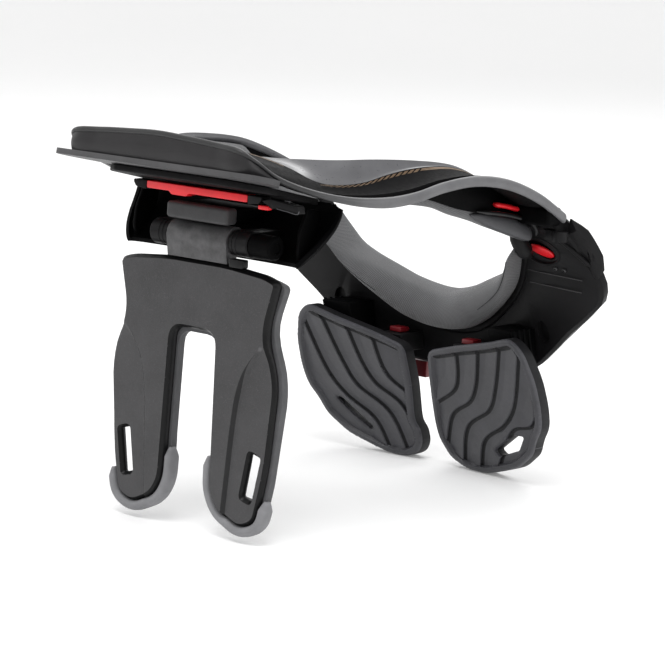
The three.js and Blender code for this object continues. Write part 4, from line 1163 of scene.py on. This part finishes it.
def fitted_foam(p):
    """Widens the strut's pad at the legs' outer sides and draws it in at their tips."""
    down = STRUT_TOP - p.z
    if abs(p.x) > FOAM_FROM:
        p.x += math.copysign(FOAM_WIDER, p.x) * smooth(22, 58, down) * smooth(135, 95, down)
    near, _, gap = STRUT_TREE.find((p.x, p.z, 0))
    if gap > TIP_FOAM and not inside(np.array([p.x]), np.array([p.z]), STRUT_LOOPS[0])[0]:
        share = lerp(1.0, TIP_FOAM / gap, smooth(92, 108, down))
        p.x, p.z = near.x + (p.x - near.x) * share, near.y + (p.z - near.y) * share
    return p


def strut_pad():
    pad = cad_copy("strut_pad", "strut_foam")
    reshaped(pad, fitted_foam, STRUT_AT)
    for side in SIDES:
        carve(pad, prism("cutter", slot_outline(side, 4.2), -20, 20, place=STRUT_AT))
    put(bevelled(pad, 2.3, 5), STRUT_BODY, "grey_foam", PAD_FOAM, "strut_pad")


strut_pad()
for side in SIDES:
    tip_bumper(side)
dress("strut_hinge", STRUT_BODY, "strut_black", HINGE_GREY, 1.6)
block("strut_stop", (STRUT_BODY, "black_shell", BAND), STOP_BOX, 0.8)

# Front half

def on_front(x, z):
    """Point on the front shell's rear face at a given x and height, and its outward direction."""
    def spot(u):
        inner, _, through, along = front_frame(u)
        d = ((x - inner.x) * along.x + (z - inner.z) * along.z) / (along.x ** 2 + along.z ** 2)
        p = inner + along * d
        return math.hypot(p.x - x, p.z - z), p, through

    low, high = (0.5, 1.0) if x > 0 else (0.0, 0.5)
    for _ in range(3):
        tries = shares(81, low, high)
        best = min(tries, key=lambda u: spot(u)[0])
        reach = tries[1] - tries[0]
        low, high = best - reach, best + reach
    _, p, through = spot(best)
    return p, -through


def face_path(points, proud):
    """Points of a path on the front shell's rear face, each proud millimetres outside it."""
    return [p + normal * proud for p, normal in (on_front(x, z) for x, z in points)]


def front_cutter(outline, side, depth):
    """Prism over an outline on the front shell's rear face, down to a depth in it."""
    spots = [on_front(side * q.x, q.y) for q in outline]
    normal = sum((n for _, n in spots), Vector()).normalized()
    return prism("cutter", [p for p, _ in spots], 4, -depth, lambda p, d: p + normal * d)


def oval(x, z, wide, tall, turn):
    spin = Matrix.Rotation(turn, 2)
    return [Vector((x, z)) + spin @ Vector((wide * math.cos(a), tall * math.sin(a))) for a in turns(48)]


# Places on the front shell's rear face, x and height: the pits round the button and of the lower barrel with
# their half sizes and turn, the ring round the button, the lever's slot and rib, two mould lines, the screws
BUTTON_AT, BUTTON_TURN = (96.5, 165.6), -0.1
BUTTON_PIT, BUTTON_RING = (14.2, 8.4, BUTTON_TURN), (14.9, 9.0, BUTTON_TURN)
LOW_PIT = (89, 108, 4.6, 7.6, 0.25)
LEVER_SLOT = rounded_outline([(113.2, 176.6), (116.2, 177.6), (134.2, 160.4), (132.4, 157.2)], 1.2, 4)
LEVER_RIB = [(108.5, 183.4), (117, 176.6), (127, 168.2), (135.5, 160.2)]
MOULD_LINES = [[(82, 150.8), (105, 150.0), (127, 149.0)], [(82, 142.2), (105, 141.4), (126, 140.6)]]
SCREWS = [(106.2, 154.4), (113.2, 154.0)]
# Profile of a screw's head: distance out of the face and radius
SCREW = [(-1.0, 1.5), (0.25, 1.5), (0.5, 1.25), (0.5, 0.75), (-0.2, 0.65), (-0.25, 0.05)]


def swollen_corner(p):
    """Fills out the front shell's outer lower corners by a few millimetres."""
    share = smooth(108, 132, abs(p.x)) * smooth(36, 4, abs(p.z - 141))
    return p + Vector((math.copysign(2.8, p.x), 2.8, -0.6)) * share


def front_shell():
    shell = cad_copy("front_shell", "front_shell_skin")
    for side in SIDES:
        carve(shell, front_cutter(oval(*BUTTON_AT, *BUTTON_PIT), side, 1.5))
        carve(shell, front_cutter(oval(*LOW_PIT), side, 4.5))
        carve(shell, front_cutter(LEVER_SLOT, side, 2.6))
    bevelled(shell, 1.1, 3)
    reshaped(shell, swollen_corner)
    put(shell, FRONT_BODY, "black_shell", BLACK, "front_shell")


front_shell()
for side, word in SIDES.items():
    ring = face_path([(side * q.x, q.y) for q in oval(*BUTTON_AT, *BUTTON_RING)], -0.25)
    bezel = loft("button_bezel_" + word, tube_rings(ring + ring[:1], 0.8, 10), sharp=60)
    put(bezel, FRONT_BODY, "black_shell", BLACK)
    rib = face_path([(side * x, z) for x, z in LEVER_RIB], 0.5)
    put(tube("lever_rib_" + word, rib, tapering(1.5, 0.3, 8)), FRONT_BODY, "black_shell", BLACK)
for k, line in enumerate(MOULD_LINES):
    put(tube("mould_line_%d" % k, face_path(line, 0.05), 0.3), FRONT_BODY, "black_shell", PLATE)
for side, word in SIDES.items():
    for k, (x, z) in enumerate(SCREWS):
        put(spun("shell_screw_%s_%d" % (word, k), SCREW, *on_front(side * x, z)), FRONT_BODY, "steel", STEEL)

# Top of the front pad: row of FRONT_ROWS and shares of the front half's sizes. The pad ends a little before
# the last row. Below the closures it leans back towards the neck, its wings a little more
FRONT_PAD_TOPS = [
    (0, (0, 0.854, 0.602)), (1, (0.187, 0.735, 0.555)), (2, (0.33, 0.61, 0.477)), (3, (0.442, 0.53, 0.398)),
    (4, (0.5, 0.461, 0.331)), (5, (0.545, 0.371, 0.262)), (6, (0.57, 0.273, 0.205)), (6.6, (0.585, 0.215, 0.17)),
]
PAD_ROWS, FRONT_PAD_END = FRONT_PAD_TOPS[-1][0], 5.8
PAD_LOW, PAD_HIGH = [0.5 + end / PAD_ROWS / 2 for end in (-FRONT_PAD_END, FRONT_PAD_END)]
PAD_BACK, WING_BACK, WING_OUT, WING_DOWN = 7.5, 3.5, 3.5, 3.2
# Rows over which the pad comes to lean and the wings go back. Shares of the pad's thickness: how far its middle
# lies outward, and its reach on the outer and inner side
LEAN_ROWS, WING_ROWS = (6.9, 5.2), (1.2, 3.4)
PAD_OUT, PAD_OUTER, PAD_INNER = 0.34, 0.66, 0.95
PAD_TOP = mirrored_curve([front_point(top) for _, top in FRONT_PAD_TOPS])
PAD_ROW = mirrored_curve([(row / PAD_ROWS, 0, 0) for row, _ in FRONT_PAD_TOPS])


def front_pad_section(place):
    """The bolster on the front shell's inner edge closes at both ends."""
    inner, _, through, along = front_frame(row_place(PAD_ROW.at(place).x * PAD_ROWS))
    row = abs(place - 0.5) * 2 * PAD_ROWS
    lean, wing = smooth(*LEAN_ROWS, row), smooth(*WING_ROWS, row)
    close = math.sqrt(clamp(0.1 + 16 * min(place - PAD_LOW, PAD_HIGH - place)))
    foot = inner - along * 1.8
    up = PAD_TOP.at(place) + Vector((math.copysign(WING_OUT * wing, place - 0.5), 0, -WING_DOWN * wing)) - foot
    back = (PAD_BACK + WING_BACK * wing) * lean
    middle = foot + up / 2 + through * (FRONT_PAD * PAD_OUT) - Vector((0, back, 0))
    ring = []
    for a in turns(PAD_SIDES):
        c, s = math.cos(a), math.sin(a)
        reach = FRONT_PAD * PAD_OUTER + 5 * lean if c > 0 else FRONT_PAD * PAD_INNER + 2.5 * lean
        ring.append(middle + through * (boxy(c, 0.6) * reach * close) + up * (boxy(s, 0.8) * 0.5 * close))
    return ring


front_pad = swept("front_pad_cover", front_pad_section, 121, 70, PAD_LOW, PAD_HIGH)
inflated(front_pad, 2.2)
put(front_pad, FRONT_BODY, "mesh_fabric", MESH, "front_pad")

# Rolled edge of the shell behind the pad, and the caps that close the pad's ends
LIP_END, LIP_RADIUS, CAP_RADIUS = 5.2, 4.4, 5.7
CAP_LINE = [(91, 231, 161.5), (89.2, 226, 165.5), (88.6, 221.5, 170.4), (88.8, 218.4, 175), (92, 218.6, 178.5)]
# Seams: the row of points that they follow, how deep they lie, and the shares of the pad between which they run
SEAM_ROW, SEAM_SUNK, SEAM_RADIUS = 15, 0.1, 0.32
SEAMS = {"left": (0.05, 0.36), "right": (0.64, 0.95)}


def lip_point(row):
    inner, _, through, along = front_frame(row_place(row))
    return inner + through * 4.6 - along * 0.6


def seam(name, pad, low, high):
    """Fine stitched line along a lengthwise row of a pad's points."""
    back = BRACE.inverted()
    row = list(pad.data.vertices)[SEAM_ROW::PAD_SIDES]
    path = [back @ v.co - (back.to_3x3() @ v.normal).normalized() * SEAM_SUNK
            for v in row[int(low * len(row)):int(high * len(row))]]
    return loft(name, tube_rings(path, SEAM_RADIUS, 6), sharp=60)


lip = tube("front_shell_lip", [lip_point(row) for row in shares(81, -LIP_END, LIP_END)], LIP_RADIUS)
put(lip, FRONT_BODY, "black_shell", BLACK)
for side, word in SIDES.items():
    cap = tube("front_pad_cap_" + word, mirrored(CAP_LINE, side), tapering(CAP_RADIUS, 0.15, 4, 0.5, 1.15))
    put(cap, FRONT_BODY, "black_shell", BLACK)
for word, ends in SEAMS.items():
    put(seam("front_pad_seam_" + word, front_pad, *ends), FRONT_BODY, "mesh_fabric", PIPING)

# Outer sides of the chest pads as shares of their width and height, from the top to the bottom
CHEST_OUTER = [
    (0.3, 0.87), (0.6, 0.935), (0.83, 1), (0.93, 0.92), (0.99, 0.73), (1, 0.56), (0.98, 0.42),
    (0.9, 0.31), (0.86, 0.22), (0.7, 0.1), (0.53, 0.045), (0.36, 0),
]
# Inner sides of the right and left pads, from the bottom to the top corner
CHEST_INNER = {
    1: [(0.2, 0.005), (0.06, 0.06), (-0.02, 0.19), (-0.03, 0.3), (-0.02, 0.45), (0, 0.65), (0.03, 0.8)],
    -1: [(0.22, 0.0), (0.11, 0.05), (0.06, 0.13), (0.06, 0.22), (0.09, 0.27), (0.09, 0.32), (0.06, 0.55), (0.06, 0.8)],
}
# The right pad's slot is open, the left one's nearly closed
CHEST_SLOTS = {
    1: [(0.78, 0.325), (0.69, 0.32), (0.5, 0.19), (0.54, 0.155), (0.71, 0.22)],
    -1: [(0.76, 0.35), (0.7, 0.345), (0.48, 0.17), (0.5, 0.155), (0.66, 0.26)],
}
# Chevrons as the same shares, each from the pad's top or outer side to its inner side or bottom
CHEVRONS = [
    [(0.32, 0.9), (0.28, 0.65), (0.23, 0.56), (0.0, 0.42)],
    [(0.54, 0.95), (0.44, 0.62), (0.36, 0.5), (0.17, 0.38), (0.06, 0.16)],
    [(0.75, 1.0), (0.62, 0.63), (0.53, 0.47), (0.29, 0.31), (0.18, 0.0)],
    [(0.9, 0.92), (0.76, 0.52), (0.64, 0.38), (0.43, 0.24), (0.34, 0.0)],
    [(1.02, 0.62), (0.9, 0.42), (0.72, 0.36), (0.54, 0.1), (0.5, 0.0)],
]


def chest_point(share):
    """Flat point of the right chest pad from shares of its width and height."""
    return Vector((CHEST_GAP / 2 + share[0] * CHEST_W, share[1] * CHEST_H))


CHEST_TOP = [chest_point(share) for share in ((0.1, 0.82), (0.3, 0.87), (0.6, 0.935), (0.78, 0.98))]
CHEST_LINES = [smooth_line([chest_point(q) for q in line], 30) for line in CHEVRONS]
# Length and rise of a tread, height of the border, and how deep the face lies in the swollen pad
CHEST_TREAD, CHEST_RISE, CHEST_BORDER, CHEST_SWELL, CHEST_SINK = 12.0, 2.4, 2.6, 3.0, 1.5
# Spacing of the pad's mesh. The border falls between two distances from the outline, and the top edge's line of
# painted shade lies beyond it. A groove's face of painted shade, middle, half width and depth and a tread's step
# are measured from the chevron. The last is the reach of the pad's rounded edge
CHEST_MESH, CHEST_RIM, TOP_SHADE, GROOVE_AT = 0.8, (4.0, 5.8), 1.4, (-1.3, 0.9)
GROOVE_MIDDLE, GROOVE_HALF, GROOVE_DEEP, TREAD_STEP, CHEST_ROUND = 0.2, 1.7, 1.5, (-0.6, -1.8), 2.8


def grooves(side):
    """Chevron lines of a pad; the lowest one is on the right pad only."""
    return CHEST_LINES if side > 0 else CHEST_LINES[:-1]


def turned_way(points, side):
    return [Vector((side * p.x, p.y)) for p in points]


def chest_height(side, tree, x, y, gap):
    """Treads that climb towards the inner top corner and drop at each chevron, inside a raised border."""
    rise, groove = np.zeros(len(x)), np.zeros(len(x))
    for line in grooves(side):
        place = signed_gap(side * x, y, line) * side
        tread = CHEST_RISE * np.clip(1 + place / CHEST_TREAD, 0, 1) * ease(*TREAD_STEP, place)
        rise = np.maximum(rise, np.where(place < 0, tread, 0))
        groove = np.maximum(groove, GROOVE_DEEP * np.clip(1 - np.abs(place - GROOVE_MIDDLE) / GROOVE_HALF, 0, 1))
    within = ease(*CHEST_RIM, gaps([Vector(q) for q in zip(x, y)], tree))
    face = np.maximum(CHEST_BORDER * (1 - within), (rise - groove) * within)
    return CHEST_SINK - CHEST_SWELL - face + rounded_in(gap, CHEST_ROUND)


def chest_tones(side, tree, points):
    """Second material, painted shade, in the grooves and under the border's top edge."""
    x, y = xy(points)
    dark = np.zeros(len(x), bool)
    for line in grooves(side):
        place = signed_gap(side * x, y, line) * side
        dark |= (place > GROOVE_AT[0]) & (place < GROOVE_AT[1])
    rim = gaps(points, tree)
    under = np.abs(signed_gap(side * x, y, CHEST_TOP)) < CHEST_RIM[1] + TOP_SHADE
    return (dark & (rim > CHEST_RIM[1]) | under & (rim > CHEST_RIM[0] + 0.6)).astype(int)


def chest_seeds(side):
    """Lines that the pad's mesh follows: both sides and the edges of each groove, and the top's line of painted shade.
    """
    lines = []
    for line in grooves(side):
        places = (TREAD_STEP[1], *GROOVE_AT, GROOVE_MIDDLE, -TREAD_STEP[1])
        lines += [turned_way(offset_line(line, by * side), side) for by in places]
    return lines + [turned_way(offset_line(CHEST_TOP, -CHEST_RIM[1] - TOP_SHADE), side)]


def chest_pad(side):
    """Moulded pad with stepped treads; the groove under each tread gets painted shade."""
    yaw, pitch = math.tan(CHEST_YAW), math.tan(CHEST_PITCH)
    start = CHEST_REACH + yaw * CHEST_GAP / 2 + pitch * 0.8 * CHEST_H

    def place(p, depth):
        return Vector((p.x, start - yaw * abs(p.x) - pitch * p.y + depth, p.y))

    outline = turned_way(rounded_outline([chest_point(q) for q in CHEST_OUTER + CHEST_INNER[side]], 6), side)
    slot = turned_way(rounded_outline([chest_point(q) for q in CHEST_SLOTS[side]], 2), side)
    border = resampled(outline, CHEST_MESH)
    tree = tree_of(border)
    lines = chest_seeds(side) + [inset(border, by) for by in CHEST_RIM]
    height, tones = partial(chest_height, side, tree), partial(chest_tones, side, tree)
    pad = field_plate("chest_" + SIDES[side], outline, [slot], CHEST_MESH, height, CHEST_T + 2.0, place, lines, tones,
                      32)
    put(pad, FRONT_BODY, "grey_foam", CHEST, "chest_pad_" + SIDES[side])
    # Second material: painted shade in the grooves and under the top border
    pad.data.materials.append(GROOVE_SHADE)
    back = BRACE.inverted()
    for face in pad.data.polygons:
        spot = back @ face.center
        if face.normal.x * side > 0.25 and tree.find((spot.x, spot.z, 0))[2] < 0.3:
            face.material_index = 0


LEVER_FRAMES = [front_frame(u) for u in shares(61, 0.8, 1.0)]
LEVER_SWELL = Vector((4.2, 1.5, 1.0))


def thickened(p):
    """Swells a release lever's outer side in the middle of its length."""
    right = Vector((abs(p.x), p.y, p.z))
    _, outer, _, along = min(LEVER_FRAMES, key=lambda spot: (spot[1] - right).length)
    bulge = smooth(1.0, 3.6, (right - outer).dot(along)) * smooth(194, 182, p.z) * smooth(153, 166, p.z)
    right += LEVER_SWELL * bulge
    return Vector((math.copysign(1, p.x) * right.x, right.y, right.z))


# A button moves along PUSH. Its foot is cut short, so that it stays clear of the shell at full travel
PUSH, BUTTON_CUT, BUTTON_SIZE, BUTTON_SHIFT = Vector((0, 0.765, 0.645)).normalized(), 2.2 * MM, 0.88, 1.2 * MM
CLIP_WIDTH = 0.7


def narrowed(clip):
    """Narrows a clip about its middle."""
    middle = middle_of(clip)
    for v in clip.data.vertices:
        v.co.x = middle.x + (v.co.x - middle.x) * CLIP_WIDTH


def shortened(button):
    """Shrinks a button about its middle, shifts it forward and cuts its foot."""
    middle = middle_of(button)
    deepest = max(v.co.dot(PUSH) for v in button.data.vertices) - BUTTON_CUT
    for v in button.data.vertices:
        v.co = middle + (v.co - middle) * BUTTON_SIZE + Vector((0, BUTTON_SHIFT, 0))
        v.co -= PUSH * max(0.0, v.co.dot(PUSH) - deepest)


for side, word in SIDES.items():
    chest_pad(side)
    dress("outer_bracket_" + word, FRONT_BODY, "black_shell", INSIDE, 0.9)
    dress("inner_bracket_" + word, FRONT_BODY, "black_shell", BLACK, 1.0)
    narrowed(dress("top_clip_" + word, FRONT_BODY, "red_plastic", DARK_RED, 0.5))
    dress("lower_clip_" + word, FRONT_BODY, "red_plastic", DARK_RED, 0.6)
    reshaped(dress("lever_" + word, "release_" + word, "black_shell", BLACK, 0.7), thickened)
    shortened(dress("button_" + word, "push_" + word, "red_plastic", RED, 0.9))

# Ridges on the outer brackets' open sides, at a pitch forward of the first
RIDGES, RIDGE_START, RIDGE_STEP = 4, 229, 6.0
for side, word in SIDES.items():
    for k in range(RIDGES):
        y = RIDGE_START + RIDGE_STEP * k
        path = mirrored([(82.0, y, 110), (82.6, y + 1.2, 102), (82.4, y + 6.5, 86)], side)
        put(tube("bracket_ridge_%s_%d" % (word, k), path, 1.2), FRONT_BODY, "black_shell", INSIDE)

# Stage, lights and camera
# Floor in metres: its front, where it starts to curve up, the curve's radius, the backdrop's top, its half width
FLOOR_FRONT, FLOOR_BACK, FLOOR_CURVE, FLOOR_TOP, FLOOR_HALF = -4.0, 3.0, 1.5, 6.0, 6.0
FLOOR_TURN = math.radians(42.0)


def sweep():
    """Pale floor that curves up into a backdrop far behind the object."""
    bm = bmesh.new()
    curve = [(math.sin(a), 1 - math.cos(a)) for a in shares(16, 0.1, math.pi / 2)]
    profile = [(FLOOR_FRONT, 0), (FLOOR_BACK, 0), *[(FLOOR_BACK + FLOOR_CURVE * y, FLOOR_CURVE * z) for y, z in curve],
               (FLOOR_BACK + FLOOR_CURVE, FLOOR_TOP)]
    turn = Matrix.Rotation(FLOOR_TURN, 4, "Z")
    rows = [[bm.verts.new(turn @ Vector((x, y, z))) for x in (-FLOOR_HALF, FLOOR_HALF)] for y, z in profile]
    for a, b in zip(rows, rows[1:]):
        bm.faces.new((a[0], a[1], b[1], b[0]))
    floor = finish_mesh("floor", bm, 60, Matrix.Identity(4))
    n = Nodes("pale_floor", (0.9, 0.9, 0.9), 0.8, Emission_Strength=0.14, Emission_Color=(1, 1, 1, 1))
    cloud = n.noise(n.coordinates(), 1.5, 3.0)
    n.base(n.mix(cloud, (0.84, 0.84, 0.84), (0.88, 0.88, 0.88)))
    floor.data.materials.append(n.material)


def softbox(name, place, target, width, height, power):
    light = bpy.data.lights.new(name, "AREA")
    light.shape = "RECTANGLE"
    light.size, light.size_y, light.energy = width, height, power
    obj = bpy.data.objects.new(name, light)
    bpy.context.scene.collection.objects.link(obj)
    obj.location = place
    obj.rotation_euler = (Vector(target) - Vector(place)).to_track_quat("-Z", "Y").to_euler()


# The photograph's camera: its azimuth, rise and distance in the brace's own level, the height and tilt of that
# level in the brace's frame, the view's shift right of and below what it looks at, and the focal length
VIEW_TURN, VIEW_RISE, VIEW_DISTANCE = math.radians(42.39), math.radians(10.97), 1718.75
LEVEL_HEIGHT, LEVEL_TILT = 157.7, math.radians(4.1)
SHIFT_RIGHT, SHIFT_DOWN, FOCAL_LENGTH = 0.04937, 0.02322, 148.87


def camera():
    """Puts the camera where the photograph was taken from."""
    across = math.cos(VIEW_RISE)
    side = Vector((math.cos(VIEW_TURN), math.sin(VIEW_TURN), 0))
    ahead = Vector((-math.sin(VIEW_TURN) * across, math.cos(VIEW_TURN) * across, -math.sin(VIEW_RISE)))
    up = side.cross(ahead)
    level = BRACE @ Matrix.Translation((0, 0, LEVEL_HEIGHT)) @ Matrix.Rotation(LEVEL_TILT, 4, "X")
    spin = level.to_3x3() * (1 / MM)
    aim = (spin @ (ahead + side * SHIFT_RIGHT - up * SHIFT_DOWN)).normalized()
    right = aim.cross(spin @ up).normalized()
    data = bpy.data.cameras.new("camera")
    data.lens, data.sensor_width, data.clip_end = FOCAL_LENGTH, 36.0, 50
    obj = bpy.data.objects.new("camera", data)
    bpy.context.scene.collection.objects.link(obj)
    axes = Matrix((right, right.cross(aim), -aim)).transposed().to_4x4()
    obj.matrix_world = Matrix.Translation(level @ (-ahead * VIEW_DISTANCE)) @ axes
    bpy.context.scene.camera = obj


sweep()
softbox("key", (0.3, -0.7, 2.1), (0, 0, 0.12), 1.3, 0.9, 24)
softbox("left_fill", (-1.8, -0.8, 0.9), (0, 0, 0.12), 0.8, 1.1, 5)
softbox("right_fill", (1.7, 0.1, 0.8), (0, 0, 0.12), 0.6, 1.1, 5)
softbox("back", (-0.6, 1.7, 1.6), (0, 0, 0.15), 1.6, 0.8, 14)
world = bpy.data.worlds.new("world")
world.use_nodes = True
sky = world.node_tree.nodes["Background"].inputs
sky["Color"].default_value, sky["Strength"].default_value = (1, 1, 1, 1), 0.78
bpy.context.scene.world = world
bpy.context.scene.view_settings.view_transform = "Standard"
camera()
